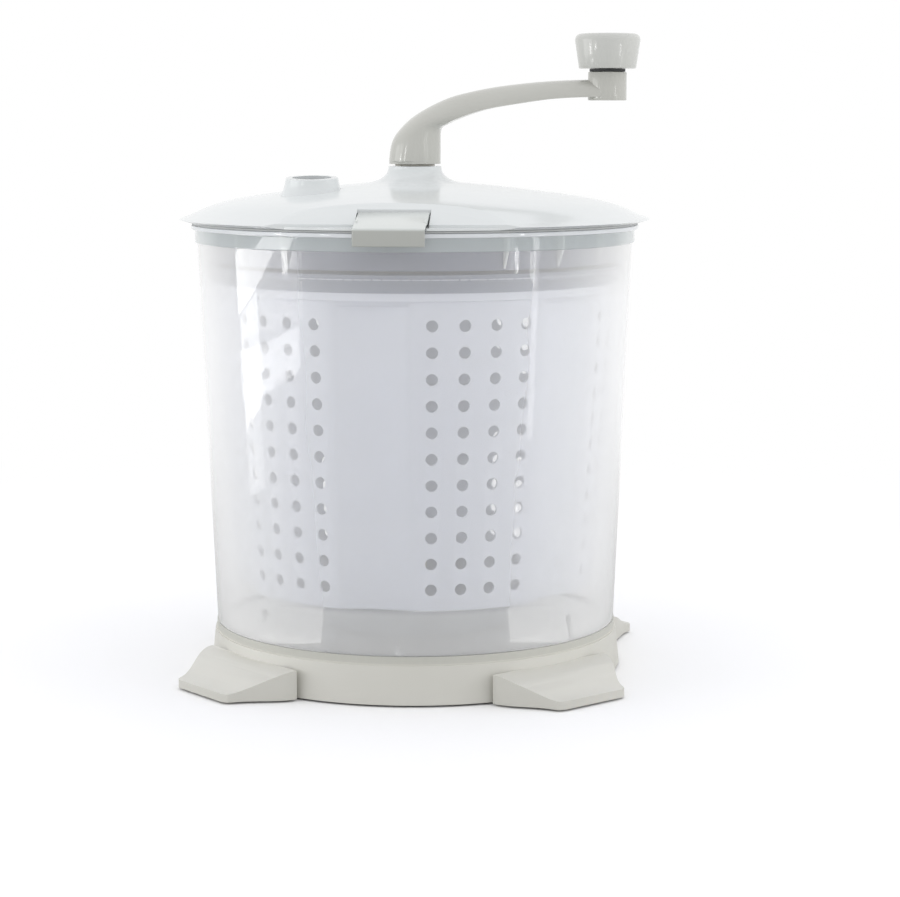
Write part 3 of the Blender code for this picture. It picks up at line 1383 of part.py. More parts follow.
def crank_arm(parent):
    work = bmesh.new()
    rings = []
    for upper, lower, half_width in arm_stations():
        centre = (upper + lower) / 2
        lift = (upper - lower) / 2
        side = Vector((0, half_width, 0))
        angles = [math.tau * k / ARM_FACETS for k in range(ARM_FACETS)]
        rings.append([work.verts.new(centre + lift * math.cos(angle) + side * math.sin(angle))
                      for angle in angles])
    for low, high in zip(rings, rings[1:]):
        band_between(work, low, high)
    work.faces.new(rings[0])
    work.faces.new(rings[-1])
    arm = finish_mesh("crank_arm", work, glossy_white_plastic)
    post = bmesh.new()
    place = Matrix.Translation((CRANK_REACH, 0, 0))
    section = round_section(POST_RADIUS, MEDIUM_FACETS, math.pi / MEDIUM_FACETS)
    add_prism(post, section, post_bottom_z, post_top_z, place)
    combine(arm, helper(post, "post_shape"), "UNION")
    bores = bmesh.new()
    add_prism(bores, round_section(SPINDLE_RADIUS + FIT_GAP, SMALL_FACETS),
              post_top_z - SPINDLE_SINK - FIT_GAP, post_top_z + CUT_OVERRUN, place)
    add_prism(bores, round_section(key_bore_radius(), HOLE_FACETS),
              socket_bottom_z - CUT_OVERRUN, shaft_top_z + FIT_GAP)
    combine(arm, helper(bores, "crank_bore_shape"), "DIFFERENCE")
    arm.parent = parent


def knob_washer(parent):
    inner = SPINDLE_RADIUS + FIT_GAP
    high = washer_seat_z + KNOB_WASHER_THICKNESS
    outline = [(inner, washer_seat_z), (KNOB_WASHER_RADIUS, washer_seat_z),
               (KNOB_WASHER_RADIUS, high), (inner, high)]
    washer = turned("knob_washer", outline, SMALL_FACETS, dark_rubber)
    washer.parent = parent


def spindle_head_z():
    return knob_bottom_z + KNOB_SHELF + FIT_GAP


def knob_spindle(parent):
    low = post_top_z - SPINDLE_SINK
    head = spindle_head_z()
    outline = [
        (0, low),
        (SPINDLE_RADIUS, low),
        (SPINDLE_RADIUS, head),
        (SPINDLE_HEAD_RADIUS, head),
        (SPINDLE_HEAD_RADIUS, head + SPINDLE_HEAD_HEIGHT),
        (0, head + SPINDLE_HEAD_HEIGHT),
    ]
    spindle = turned("knob_spindle", outline, SMALL_FACETS, steel)
    spindle.parent = parent


def knob(parent):
    bore = bore_radius(SPINDLE_RADIUS, SMALL_FACETS)
    head_room = bore_radius(SPINDLE_HEAD_RADIUS, SMALL_FACETS)
    seat = KNOB_CAP_RADIUS + FIT_GAP
    cap_floor_z = knob_top_z - KNOB_CAP_THICKNESS - FIT_GAP
    shelf_z = knob_bottom_z + KNOB_SHELF
    outline = [
        (bore, knob_bottom_z),
        (KNOB_BOTTOM_RADIUS - FIT_GAP, knob_bottom_z),
        (KNOB_BOTTOM_RADIUS, knob_bottom_z + FIT_GAP),
        (KNOB_TOP_RADIUS, knob_top_z - KNOB_ROUND),
        (KNOB_TOP_RADIUS - KNOB_ROUND / 6, knob_top_z - KNOB_ROUND / 3),
        (KNOB_TOP_RADIUS - KNOB_ROUND / 2, knob_top_z),
        (seat, knob_top_z),
        (seat, cap_floor_z),
        (head_room, cap_floor_z),
        (head_room, shelf_z),
        (bore, shelf_z),
    ]
    grip = turned("knob", outline, MEDIUM_FACETS, glossy_white_plastic)
    grip.parent = parent


def knob_cap(parent):
    low = knob_top_z - KNOB_CAP_THICKNESS
    outline = [(0, low), (KNOB_CAP_RADIUS, low), (KNOB_CAP_RADIUS, knob_top_z), (0, knob_top_z)]
    cap = turned("knob_cap", outline, MEDIUM_FACETS, glossy_white_plastic)
    cap.parent = parent


# Assembly

def build_stand():
    base_housing()
    for number, azimuth in enumerate(foot_azimuths(), 1):
        suction_cup(number, azimuth)
    for number, azimuth in enumerate(screw_azimuths(), 1):
        base_screw(number, azimuth)
    outer_tub()
    drain_plug()
    bearing_pedestal()
    pivot_pin()
    thrust_washer()


def build_basket():
    wash_basket()
    basket_bush()


def build_lid():
    lift = empty_at("lid_lift", (0, 0, 0))
    lid_shell(lift)
    lid_gasket(lift)
    shaft_bush()
    for name, turn in (("front", 0), ("rear", math.pi)):
        place = azimuth_turn(turn) @ Vector((0, -latch_pivot, latch_pivot_z))
        axis = empty_at(name + "_latch_axis", place, lift)
        axis.rotation_euler = (0, 0, turn)
        latch(name + "_latch", axis)
        latch_pin(name + "_latch_pin", axis)


def build_crank():
    axis = empty_at("crank_axis", (0, 0, 0))
    crank_arm(axis)
    drive_shaft()
    retaining_ring()
    drive_plate()
    plate_screw()
    spindle_axis = empty_at("knob_axis", (CRANK_REACH, 0, 0), axis)
    knob_washer(spindle_axis)
    knob_spindle(spindle_axis)
    knob(spindle_axis)
    knob_cap(spindle_axis)


def build():
    clear_scene()
    build_stand()
    build_basket()
    build_lid()
    build_crank()
    bpy.context.view_layer.update()


build()
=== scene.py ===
import json
import math
from functools import partial
import bmesh
import bpy
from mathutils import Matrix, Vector


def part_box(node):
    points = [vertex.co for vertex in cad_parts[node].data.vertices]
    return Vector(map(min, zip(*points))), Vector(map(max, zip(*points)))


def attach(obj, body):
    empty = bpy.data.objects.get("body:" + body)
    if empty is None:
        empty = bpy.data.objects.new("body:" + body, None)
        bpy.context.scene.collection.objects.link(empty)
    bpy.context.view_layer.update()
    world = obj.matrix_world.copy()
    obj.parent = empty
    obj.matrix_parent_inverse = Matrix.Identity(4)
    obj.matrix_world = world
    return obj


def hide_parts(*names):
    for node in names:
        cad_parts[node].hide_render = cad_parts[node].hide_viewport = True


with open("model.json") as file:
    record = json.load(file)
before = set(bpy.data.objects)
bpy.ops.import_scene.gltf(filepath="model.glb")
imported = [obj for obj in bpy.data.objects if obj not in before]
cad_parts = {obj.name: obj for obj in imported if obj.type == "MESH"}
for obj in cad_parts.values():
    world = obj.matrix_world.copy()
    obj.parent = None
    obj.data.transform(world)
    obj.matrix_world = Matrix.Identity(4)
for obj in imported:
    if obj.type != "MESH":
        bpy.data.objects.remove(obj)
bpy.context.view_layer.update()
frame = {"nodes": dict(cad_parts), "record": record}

cadNodes = frame["nodes"]
print("frame loaded:", len(cadNodes), "nodes")

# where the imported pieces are, so every look stays on its own piece
baseLow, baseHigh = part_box("base_housing")
tubLow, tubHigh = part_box("outer_tub")
pedestalLow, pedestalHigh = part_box("bearing_pedestal")
basketLow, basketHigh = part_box("wash_basket")
plateLow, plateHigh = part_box("drive_plate")
lidLow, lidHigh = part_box("lid_shell")
gasketLow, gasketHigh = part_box("lid_gasket")
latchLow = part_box("front_latch")[0]
armLow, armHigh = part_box("crank_arm")
knobLow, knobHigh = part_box("knob")
capLow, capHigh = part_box("knob_cap")
washerLow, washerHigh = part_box("knob_washer")


# helpers for building

def deselect():
    if bpy.context.object and bpy.context.object.mode == "EDIT":
        bpy.ops.object.mode_set(mode="OBJECT")
    bpy.ops.object.select_all(action="DESELECT")


def pick(*pieces):
    deselect()
    for piece in pieces:
        piece.select_set(True)
    bpy.context.view_layer.objects.active = pieces[0]


def editPiece(piece, mode="VERT"):
    pick(piece)
    bpy.ops.object.mode_set(mode="EDIT")
    bpy.ops.mesh.select_mode(type=mode)


def selectAll():
    bpy.ops.mesh.select_all(action="SELECT")


def editWhole(piece):
    editPiece(piece)
    selectAll()


# selects the parts of the piece in edit mode whose place passes the test
def selectWhere(piece, test):
    work = bmesh.from_edit_mesh(piece.data)
    for part in [*work.faces, *work.edges, *work.verts]:
        part.select_set(False)
    if bpy.context.tool_settings.mesh_select_mode[2]:
        for face in work.faces:
            if test(face.calc_center_median(), face.normal):
                face.select_set(True)
    else:
        for vert in work.verts:
            if test(vert.co):
                vert.select_set(True)
        work.select_flush_mode()
    bmesh.update_edit_mesh(piece.data)


# turns the selection counter-clockwise seen from the tip of the axis
def turnSelection(angle, axis="Z", centre=(0, 0, 0)):
    bpy.ops.transform.rotate(value=-angle, orient_axis=axis, center_override=centre)


def moveBy(offset):
    bpy.ops.transform.translate(value=offset)


def resizeBy(shares, centre):
    bpy.ops.transform.resize(value=shares, center_override=centre)


def extrudeBy(offset):
    bpy.ops.mesh.extrude_region_move(TRANSFORM_OT_translate={"value": offset})


# ends the work on a closed mesh, with every face looking outwards
def faceOutwards():
    selectAll()
    bpy.ops.mesh.normals_make_consistent(inside=False)
    deselect()


# puts the origin at the row's origin, with the place and turn in the mesh
def settle(piece):
    pick(piece)
    bpy.ops.object.transform_apply(location=True, rotation=True, scale=True)


# adds a primitive and gives it its proportions
def startFrom(primitive, proportions=(1, 1, 1), **settings):
    deselect()
    primitive(**settings)
    piece = bpy.context.object
    piece.scale = proportions
    settle(piece)
    return piece


# ring after ring extruded, lifted and widened along an outline of (radius, height)
def growAlong(outline):
    for (oldRadius, oldHeight), (radius, height) in zip(outline, outline[1:]):
        extrudeBy((0, 0, height - oldHeight))
        share = radius / oldRadius
        resizeBy((share, share, 1), (0, 0, height))


# one circle grown along the outline; a hollow outline is welded back onto its first ring
def turnedPiece(outline, segments=144, hollow=False):
    weldDistance = 0.00002
    radius, height = outline[0]
    piece = startFrom(bpy.ops.mesh.primitive_circle_add, vertices=segments, radius=radius,
            location=(0, 0, height), fill_type="NOTHING" if hollow else "NGON")
    editWhole(piece)
    growAlong(outline + ([outline[0]] if hollow else []))
    selectAll()
    bpy.ops.mesh.remove_doubles(threshold=weldDistance)
    faceOutwards()
    return piece


def rodAt(place, radius, depth, facets=64, turn=(0, 0, 0)):
    return startFrom(bpy.ops.mesh.primitive_cylinder_add, vertices=facets, radius=radius, depth=depth,
            location=place, rotation=turn)


def boxAt(middle, size):
    return startFrom(bpy.ops.mesh.primitive_cube_add, size, size=1, location=middle)


def boxBetween(low, high):
    return boxAt([(a + b) / 2 for a, b in zip(low, high)], [b - a for a, b in zip(low, high)])


# cuts the piece at a plane and closes the cut; what the normal points to stays, or else the other side
def keepSide(piece, place, normal, ahead=True):
    editWhole(piece)
    bpy.ops.mesh.bisect(plane_co=place, plane_no=normal, use_fill=True, clear_inner=ahead, clear_outer=not ahead)
    deselect()


def addModifier(piece, kind, **settings):
    modifier = piece.modifiers.new(kind.title(), kind)
    for name, value in settings.items():
        setattr(modifier, name, value)
    pick(piece)
    bpy.ops.object.modifier_apply(modifier=modifier.name)


def roundEdges(piece, width, segments=3, angle=30):
    addModifier(piece, "BEVEL", width=width, segments=segments, limit_method="ANGLE",
            angle_limit=math.radians(angle), use_clamp_overlap=True)


def cutWith(piece, cutter, operation="DIFFERENCE"):
    addModifier(piece, "BOOLEAN", operation=operation, solver="EXACT", object=cutter)
    bpy.data.objects.remove(cutter, do_unlink=True)


# copies at several angles about the Z axis, each with a mesh of its own, in place of the first one
def turnedCopies(first, angles):
    copies = []
    for angle in angles:
        pick(first)
        bpy.ops.object.duplicate(linked=False)
        turnSelection(math.radians(angle))
        copies.append(bpy.context.object)
        settle(copies[-1])
    bpy.data.objects.remove(first, do_unlink=True)
    return copies


def joinPieces(pieces):
    pick(*pieces)
    bpy.ops.object.join()
    return bpy.context.object


def finishPiece(piece, name, body, replaced, material, smoothAngle=32):
    piece.name = name
    piece.data.name = name
    pick(piece)
    bpy.ops.object.shade_smooth_by_angle(angle=math.radians(smoothAngle))
    if not piece.data.materials:
        piece.data.materials.append(material)
    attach(piece, body)
    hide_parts(*replaced)
    return piece


# the values at a place in a table of (place, values...), on a smooth curve through its rows
def smoothBetween(table, place):
    for k in range(len(table) - 1):
        if table[k][0] <= place <= table[k + 1][0]:
            break
    before, here, there, after = [table[max(0, min(len(table) - 1, k + step))] for step in (-1, 0, 1, 2)]
    run = there[0] - here[0]
    share = (place - here[0]) / run
    values = []
    for part in range(1, len(here)):
        slopeIn = (there[part] - before[part]) / (there[0] - before[0])
        slopeOut = (after[part] - here[part]) / (after[0] - here[0])
        square, cube = share ** 2, share ** 3
        values.append((2 * cube - 3 * square + 1) * here[part] + (cube - 2 * square + share) * run * slopeIn
                + (3 * square - 2 * cube) * there[part] + (cube - square) * run * slopeOut)
    return values


# helpers for materials

# sRGB hex to the linear colour that Blender's sockets take
def linearColour(hexColour):
    parts = [int(hexColour[k:k + 2], 16) / 255 for k in (0, 2, 4)]
    return tuple(part / 12.92 if part <= 0.04045 else ((part + 0.055) / 1.055) ** 2.4 for part in parts) + (1.0,)


# adds one node; a setting is an option or a socket's value, where text is a colour, and a link comes from
# a socket or from a node's first output
def addNode(tree, kind, settings=None, links=None):
    node = tree.nodes.new("ShaderNode" + kind)
    for key, value in (settings or {}).items():
        if isinstance(key, str) and hasattr(node, key):
            setattr(node, key, value)
        else:
            node.inputs[key].default_value = linearColour(value) if isinstance(value, str) else value
    for key, source in (links or {}).items():
        output = source if isinstance(source, bpy.types.NodeSocket) else source.outputs[0]
        tree.links.new(output, node.inputs[key])
    return node


# clears the tree of a material or world, and gives the function that adds nodes to it
def nodeAdder(owner):
    owner.use_nodes = True
    owner.node_tree.nodes.clear()
    return partial(addNode, owner.node_tree)


# painted shade: a darker second colour within a radius of the Z axis and between two heights, with soft borders
def paintedShadeZone(add, place, tint, zone):
    height = add("SeparateXYZ", {}, {0: place}).outputs["Z"]
    flat = add("VectorMath", {"operation": "MULTIPLY", 1: (1, 1, 0)}, {0: place})
    reach = add("VectorMath", {"operation": "LENGTH"}, {0: flat}).outputs["Value"]
    mask, soft = None, zone["soft"]
    for value, outside, inside in ((height, zone["low"] - soft, zone["low"]),
            (height, zone["high"], zone["high"] - soft), (reach, zone["radius"], zone["radius"] - soft)):
        part = add("MapRange", {"From Min": outside, "From Max": inside}, {"Value": value})
        mask = part if mask is None else add("Math", {"operation": "MULTIPLY"}, {0: mask, 1: part})
    return add("Mix", {"data_type": "RGBA", 7: zone["colour"]}, {0: mask, 6: tint.outputs[2]})


# what moulded pieces share; a real mould skin is finer, and is drawn 1.1 mm coarse so that it shows at all
mouldedLook = {"colour": "E1E4E4", "shade": "DCE0E0", "roughness": 0.16, "spread": 0.04, "ior": 1.54, "metallic": 0.0,
        "glow": 0.0, "glowDepth": 0.001, "cloudSize": 0.05, "wearSize": 0.012, "skinSize": 0.0011,
        "skinStrength": 0.02, "skinDepth": 0.00004}


# an even colour with faint cloudiness, uneven gloss and the mould skin
def mouldedMaterial(name, **changes):
    look = {**mouldedLook, **changes}
    material = bpy.data.materials.new(name)
    add = nodeAdder(material)
    place = add("TexCoord").outputs["Object"]
    cloud = add("TexNoise", {"Scale": 1 / look["cloudSize"], "Detail": 3}, {"Vector": place})
    tint = add("Mix", {"data_type": "RGBA", 6: look["colour"], 7: look["shade"]}, {0: cloud})
    # a zone is painted shade, laid over the moulding's own colour
    if "zone" in look:
        tint = paintedShadeZone(add, place, tint, look["zone"])
    wear = add("TexNoise", {"Scale": 1 / look["wearSize"], "Detail": 5}, {"Vector": place})
    gloss = add("MapRange", {"To Min": look["roughness"] - look["spread"],
            "To Max": look["roughness"] + look["spread"]}, {"Value": wear})
    skin = add("TexNoise", {"Scale": 1 / look["skinSize"], "Detail": 2}, {"Vector": place})
    bump = add("Bump", {"Strength": look["skinStrength"], "Distance": look["skinDepth"]}, {"Height": skin})
    shader = add("BsdfPrincipled",
            {"IOR": look["ior"], "Metallic": look["metallic"], "Subsurface Weight": look["glow"],
            "Subsurface Scale": look["glowDepth"], "Subsurface Radius": (1.0, 1.0, 1.0)},
            {"Base Color": tint.outputs[2], "Roughness": gloss, "Normal": bump})
    add("OutputMaterial", {}, {"Surface": shader})
    return material


# a polished mould gives clean, slightly soft reflections; the spigot under the flange is painted slate grey:
# painted shade for the shade under the rim, as it shows through the tub's thick clear rim
lidPlastic = mouldedMaterial("injection moulded glossy ABS, cool white",
        zone={"low": lidLow.z - 0.01, "high": lidLow.z + 0.0262, "soft": 0.0003,
        "radius": 0.1441, "colour": "5D647A"})
# the same gloss; the flap's turned-down front is painted greyer than its top, as painted shade on the face towards the
# front
latchPlastic = mouldedMaterial("injection moulded glossy ABS, latch white", colour="D9DDDA", shade="D3D7D4",
        zone={"low": latchLow.z - 0.004, "high": latchLow.z + 0.0112, "soft": 0.0012,
        "radius": 0.2, "colour": "B2B4AF"})
# a little glossier, so the knob's highlights are small and crisp
capPlastic = mouldedMaterial("injection moulded glossy ABS, pale grey white", colour="CCCDC9", shade="C6C7C2",
        roughness=0.14)
# the same gloss on a warmer grey, which shows the long highlights along the arm
crankPlastic = mouldedMaterial("injection moulded ABS, ivory grey", colour="C3C3BD", shade="BCBCB5", roughness=0.14)
# a textured mould leaves a broad, dull sheen; the collar's top is painted a darker grey as painted shadow of the tub
basePlastic = mouldedMaterial("injection moulded polypropylene, warm white", colour="D6D5CE", shade="CFCEC6",
        roughness=0.36, ior=1.49, zone={"low": baseHigh.z - 0.0045, "high": baseHigh.z + 0.001, "soft": 0.0006,
        "radius": 0.1427, "colour": "C3C3BB"})
# thin walls let light in and glow softly, bluish against the warm base; the flange and the top of the neck are painted
# slate grey as painted shade
basketPlastic = mouldedMaterial("moulded polypropylene, bluish and faintly see-through", colour="E0E4F2",
        shade="DBE0EF", roughness=0.34, ior=1.49, glow=0.7, glowDepth=0.006,
        zone={"low": basketHigh.z - 0.0067, "high": basketHigh.z + 0.002, "soft": 0.0008,
        "radius": 0.2, "colour": "7A8192"})
# nearly matt, so the plate reads as one even dark band through the tub
slatePlastic = mouldedMaterial("moulded polypropylene, slate grey", colour="767D8F", shade="6F7688",
        roughness=0.40, ior=1.49)
# dull as it comes from the mould
pedestalPlastic = mouldedMaterial("moulded nylon, blue grey", colour="7C858F", shade="747D88", roughness=0.45)
# waxy, without clear reflections
nylonPlastic = mouldedMaterial("turned nylon, off white", colour="DCD9CF", shade="D3D0C4", roughness=0.5, ior=1.53)
# soft and dry, with hardly a highlight
paleRubber = mouldedMaterial("moulded silicone rubber, pale grey", colour="C4C6C6", shade="BABCBC",
        roughness=0.7, ior=1.42)
darkRubber = mouldedMaterial("moulded rubber, near black", colour="3A3B3C", shade="303132", roughness=0.65, ior=1.5)
# fine turning blurs its reflections; a metal keeps the default IOR
steelMetal = mouldedMaterial("turned stainless steel", colour="B9BABB", shade="AFB0B2", roughness=0.3,
        metallic=1.0, ior=1.5)


# clear moulded plastic: see-through, milky where it is thick or seen from the side, with reflections
# that grow at the edges; the rim and the skirt near the base are the thick parts
def clearMaterial(name, look):
    material = bpy.data.materials.new(name)
    add = nodeAdder(material)
    place = add("TexCoord").outputs["Object"]
    height = add("SeparateXYZ", {}, {0: place}).outputs["Z"]
    facing = add("LayerWeight", {"Blend": 0.5}).outputs["Facing"]
    steep = add("Math", {"operation": "POWER", 1: look["mirrorPower"]}, {0: facing})
    mirror = add("MapRange", {"To Min": look["mirror"], "To Max": 1.0}, {"Value": steep})
    curve = add("Math", {"operation": "POWER", 1: look["hazePower"]}, {0: facing})
    haze = add("MapRange", {"To Min": look["haze"], "To Max": look["edgeHaze"]}, {"Value": curve})
    rim = add("MapRange", {"From Min": look["rimFrom"] - look["rimSoft"],
            "From Max": look["rimFrom"] + look["rimSoft"], "To Max": look["rimHaze"]}, {"Value": height})
    skirt = add("MapRange", {"From Min": look["skirtTo"] + look["skirtSoft"], "From Max": look["skirtTo"],
            "To Max": look["skirtHaze"], "interpolation_type": "SMOOTHSTEP"}, {"Value": height})
    isLip = add("Math", {"operation": "GREATER_THAN", 1: look["lipFrom"]}, {0: height})
    lip = add("Math", {"operation": "MULTIPLY", 1: look["lipHaze"]}, {0: isLip})
    milky = rim
    for part in (lip, skirt, haze):
        milky = add("Math", {"operation": "MAXIMUM"}, {0: milky, 1: part})
    cloud = add("TexNoise", {"Scale": 1 / look["cloudSize"], "Detail": 3}, {"Vector": place})
    uneven = add("MapRange", {"To Min": 1 - look["uneven"], "To Max": 1 + look["uneven"]}, {"Value": cloud})
    hazeSeen = add("Math", {"operation": "MULTIPLY", "use_clamp": True}, {0: milky, 1: uneven})
    # light on its way in and out passes more freely, as the milk throws most of it forwards
    seen = add("MapRange", {"To Min": look["lightHaze"], "To Max": 1.0},
            {"Value": add("LightPath").outputs["Is Camera Ray"]})
    hazeHere = add("Math", {"operation": "MULTIPLY"}, {0: hazeSeen, 1: seen})
    isRim = add("Math", {"operation": "GREATER_THAN", 1: look["rimFrom"]}, {0: height})
    band = add("Mix", {"data_type": "RGBA", 6: look["milk"], 7: look["rimColour"]}, {0: isRim})
    milk = add("Mix", {"data_type": "RGBA", 7: look["lipColour"]}, {0: isLip, 6: band.outputs[2]})
    wave = add("TexNoise", {"Scale": 1 / look["waveSize"], "Detail": 1}, {"Vector": place})
    bump = add("Bump", {"Strength": look["waveStrength"], "Distance": look["waveDepth"]}, {"Height": wave})
    through = add("BsdfTransparent", {"Color": look["clear"]})
    glint = add("BsdfGlossy", {"Color": "FFFFFF", "Roughness": look["roughness"]}, {"Normal": bump})
    front = add("BsdfDiffuse", {}, {"Color": milk.outputs[2]})
    back = add("BsdfTranslucent", {}, {"Color": milk.outputs[2]})
    body = add("MixShader", {0: look["through"]}, {1: front, 2: back})
    veiled = add("MixShader", {}, {0: hazeHere, 1: through, 2: body})
    shader = add("MixShader", {}, {0: mirror, 1: veiled, 2: glint})
    add("OutputMaterial", {}, {"Surface": shader})
    return material


# the polished mould gives sharp window reflections that waver a little; the edges turn milky
tubPlastic = clearMaterial("injection moulded clear styrene, a little milky",
        {"clear": "FFFFFF", "milk": "FFFFFE", "rimColour": "D5DCDC", "lipColour": "F4F7FA",
        "mirror": 0.045, "mirrorPower": 5.0, "haze": 0.17, "edgeHaze": 0.97, "hazePower": 1.35,
        "lightHaze": 0.15, "through": 0.2, "rimFrom": 0.3014, "rimSoft": 0.0004,
        "rimHaze": 0.55, "lipFrom": 0.3106, "lipHaze": 0.9, "skirtTo": 0.060,
        "skirtSoft": 0.012, "skirtHaze": 0.38, "roughness": 0.03, "cloudSize": 0.06,
        "uneven": 0.07, "waveSize": 0.05, "waveStrength": 0.2, "waveDepth": 0.0003})
print("materials made")


# base housing

base = {"wall": 0.0026, "deck": 0.0026, "bottomRadius": 0.1460, "shoulderRadius": 0.1433, "flare": 0.0006,
        "flareHeight": 0.0045, "collarRadius": 0.1422, "collarWall": 0.0024, "collarHeight": 0.0059,
        "footAzimuths": (46, 134, 226, 314), "footReach": 0.1845, "footTipWidth": 0.062, "footRootWidth": 0.102,
        "footTipHeight": 0.0055, "footRootHeight": 0.0195, "footSteps": 22, "footCorner": 0.005, "rounding": 0.0007}
deckTop = baseHigh.z - base["collarHeight"]
collarInside = base["collarRadius"] - base["collarWall"]

housing = turnedPiece([(base["shoulderRadius"] - base["wall"], deckTop - base["deck"]),
    (base["bottomRadius"] - base["wall"], baseLow.z), (base["bottomRadius"], baseLow.z),
    (base["shoulderRadius"] + base["flare"], deckTop - base["flareHeight"]), (base["shoulderRadius"], deckTop),
    (base["collarRadius"], deckTop), (base["collarRadius"], baseHigh.z), (collarInside, baseHigh.z),
    (collarInside, deckTop)])


# one foot: an upright plate at the wall, drawn outwards while it narrows and sinks in S curves
def splayedFoot():
    root = base["shoulderRadius"] - base["wall"]
    foot = startFrom(bpy.ops.mesh.primitive_plane_add, (base["footRootWidth"], base["footRootHeight"], 1), size=1,
            location=(0, -root, baseLow.z + base["footRootHeight"] / 2), rotation=(math.pi / 2, 0, 0))
    editWhole(foot)
    oldHalf, oldHeight, oldReach = base["footRootWidth"] / 2, base["footRootHeight"], root
    for step in range(1, base["footSteps"] + 1):
        share = step / base["footSteps"]
        sweep = (1 + math.cos(math.pi * share)) / 2
        reach = root + (base["footReach"] - root) * share
        half = (base["footTipWidth"] + (base["footRootWidth"] - base["footTipWidth"]) * sweep) / 2
        into = max(0, reach - (base["footReach"] - base["footCorner"]))
        half -= base["footCorner"] - math.sqrt(max(base["footCorner"] ** 2 - into ** 2, 0))
        height = base["footTipHeight"] + (base["footRootHeight"] - base["footTipHeight"]) * sweep
        extrudeBy((0, oldReach - reach, 0))
        resizeBy((half / oldHalf, 1, height / oldHeight), (0, -reach, baseLow.z))
        oldHalf, oldHeight, oldReach = half, height, reach
    faceOutwards()
    return foot


for foot in turnedCopies(splayedFoot(), base["footAzimuths"]):
    cutWith(housing, foot, "UNION")
roundEdges(housing, base["rounding"], 3, 28)
finishPiece(housing, "base_moulding", "stand", ["base_housing"], basePlastic)
print("base housing done")


# outer tub

tub = {"wall": 0.0025, "floor": 0.0025, "seatRadius": 0.1395, "footRadius": 0.1416, "topRadius": 0.1529,
       "bandRadius": 0.1545, "lipRadius": 0.1572, "bandHeight": 0.0092, "lipHeight": 0.0028, "gap": 0.0003,
       "bend": 0.0035, "bendEase": 0.0002, "rounding": 0.0006}
bandBottom = tubHigh.z - tub["bandHeight"] - tub["lipHeight"]
lipBottom = tubHigh.z - tub["lipHeight"]
tubStep = baseHigh.z + tub["gap"]
mouthRadius = tub["topRadius"] - tub["wall"]

tubShell = turnedPiece([(tub["seatRadius"], tubLow.z), (tub["seatRadius"], tubStep), (tub["footRadius"], tubStep),
    (tub["topRadius"], bandBottom), (tub["bandRadius"], bandBottom), (tub["bandRadius"], lipBottom),
    (tub["lipRadius"], lipBottom), (tub["lipRadius"], tubHigh.z), (mouthRadius, tubHigh.z),
    (mouthRadius, bandBottom), (tub["footRadius"] - tub["wall"] + tub["bendEase"], tubStep + tub["bend"]),
    (tub["seatRadius"] - tub["wall"], tubLow.z + tub["floor"])], segments=180)
roundEdges(tubShell, tub["rounding"], 2, 25)
finishPiece(tubShell, "tub_moulding", "stand", ["outer_tub"], tubPlastic)
print("outer tub done")


# pedestal under the basket

pedestal = {"radius": 0.0665, "rounding": 0.0015}
pedestalBody = turnedPiece([(pedestal["radius"], pedestalLow.z), (pedestal["radius"], pedestalHigh.z)], segments=96)
roundEdges(pedestalBody, pedestal["rounding"], 3, 40)
finishPiece(pedestalBody, "pedestal_moulding", "stand", ["bearing_pedestal"], pedestalPlastic)
print("pedestal done")


# basket; its angles are in degrees, and onRing and onColumn say how near a point has to be to count

basket = {"wall": 0.0022, "taper": 0.0683, "neckRadius": 0.1433, "neckStep": 0.0021, "neckCurve": 0.0008,
        "neckHeight": 0.0106, "flangeRadius": 0.1460, "flangeThickness": 0.0022, "fluteEnd": 0.0034,
        "edge": 0.0026, "edgeBend": 0.3, "padHeight": 0.0012, "panels": 6, "firstPanel": 24.1,
        "columns": 4, "columnPitch": 9, "rows": 11, "rowPitch": 0.01772, "firstRow": 0.0154,
        "holeRadius": 0.0040, "cutterLength": 0.016, "fluteDepth": 0.055, "segments": 240, "startTurn": 0.1,
        "onRing": 0.00005, "onColumn": 0.3, "floorMiddle": 0.06}
basketBottom = basketLow.z + basket["padHeight"]
neckBottom = basketHigh.z - basket["flangeThickness"] - basket["neckHeight"]
fluteTop = neckBottom - basket["fluteEnd"]
panelAngle = 360 / basket["panels"]


def basketRadius(height):
    return basket["neckRadius"] - basket["neckStep"] - basket["taper"] * (neckBottom - height)


# presses the newest ring in at the six flutes, or back out again
def pressFlutes(piece, height, inwards):
    halfWidth = (panelAngle - basket["columns"] * basket["columnPitch"]) / 2
    for step in range(round(halfWidth * basket["segments"] / 360)):
        offset = step * 360 / basket["segments"]
        depth = basket["fluteDepth"] * math.cos(math.pi / 2 * offset / halfWidth)
        columns = []
        for panel in range(basket["panels"]):
            middle = basket["firstPanel"] + (panel + 0.5) * panelAngle
            columns += [middle - offset, middle + offset]
        selectWhere(piece, lambda co: abs(co.z - height) < basket["onRing"] and any(
            abs((math.degrees(math.atan2(co.x, -co.y)) - column + 180) % 360 - 180) < basket["onColumn"]
            for column in columns))
        share = 1 - depth if inwards else 1 / (1 - depth)
        resizeBy((share, share, 1), (0, 0, height))
    selectWhere(piece, lambda co: abs(co.z - height) < basket["onRing"]
            and math.hypot(co.x, co.y) > basket["floorMiddle"])


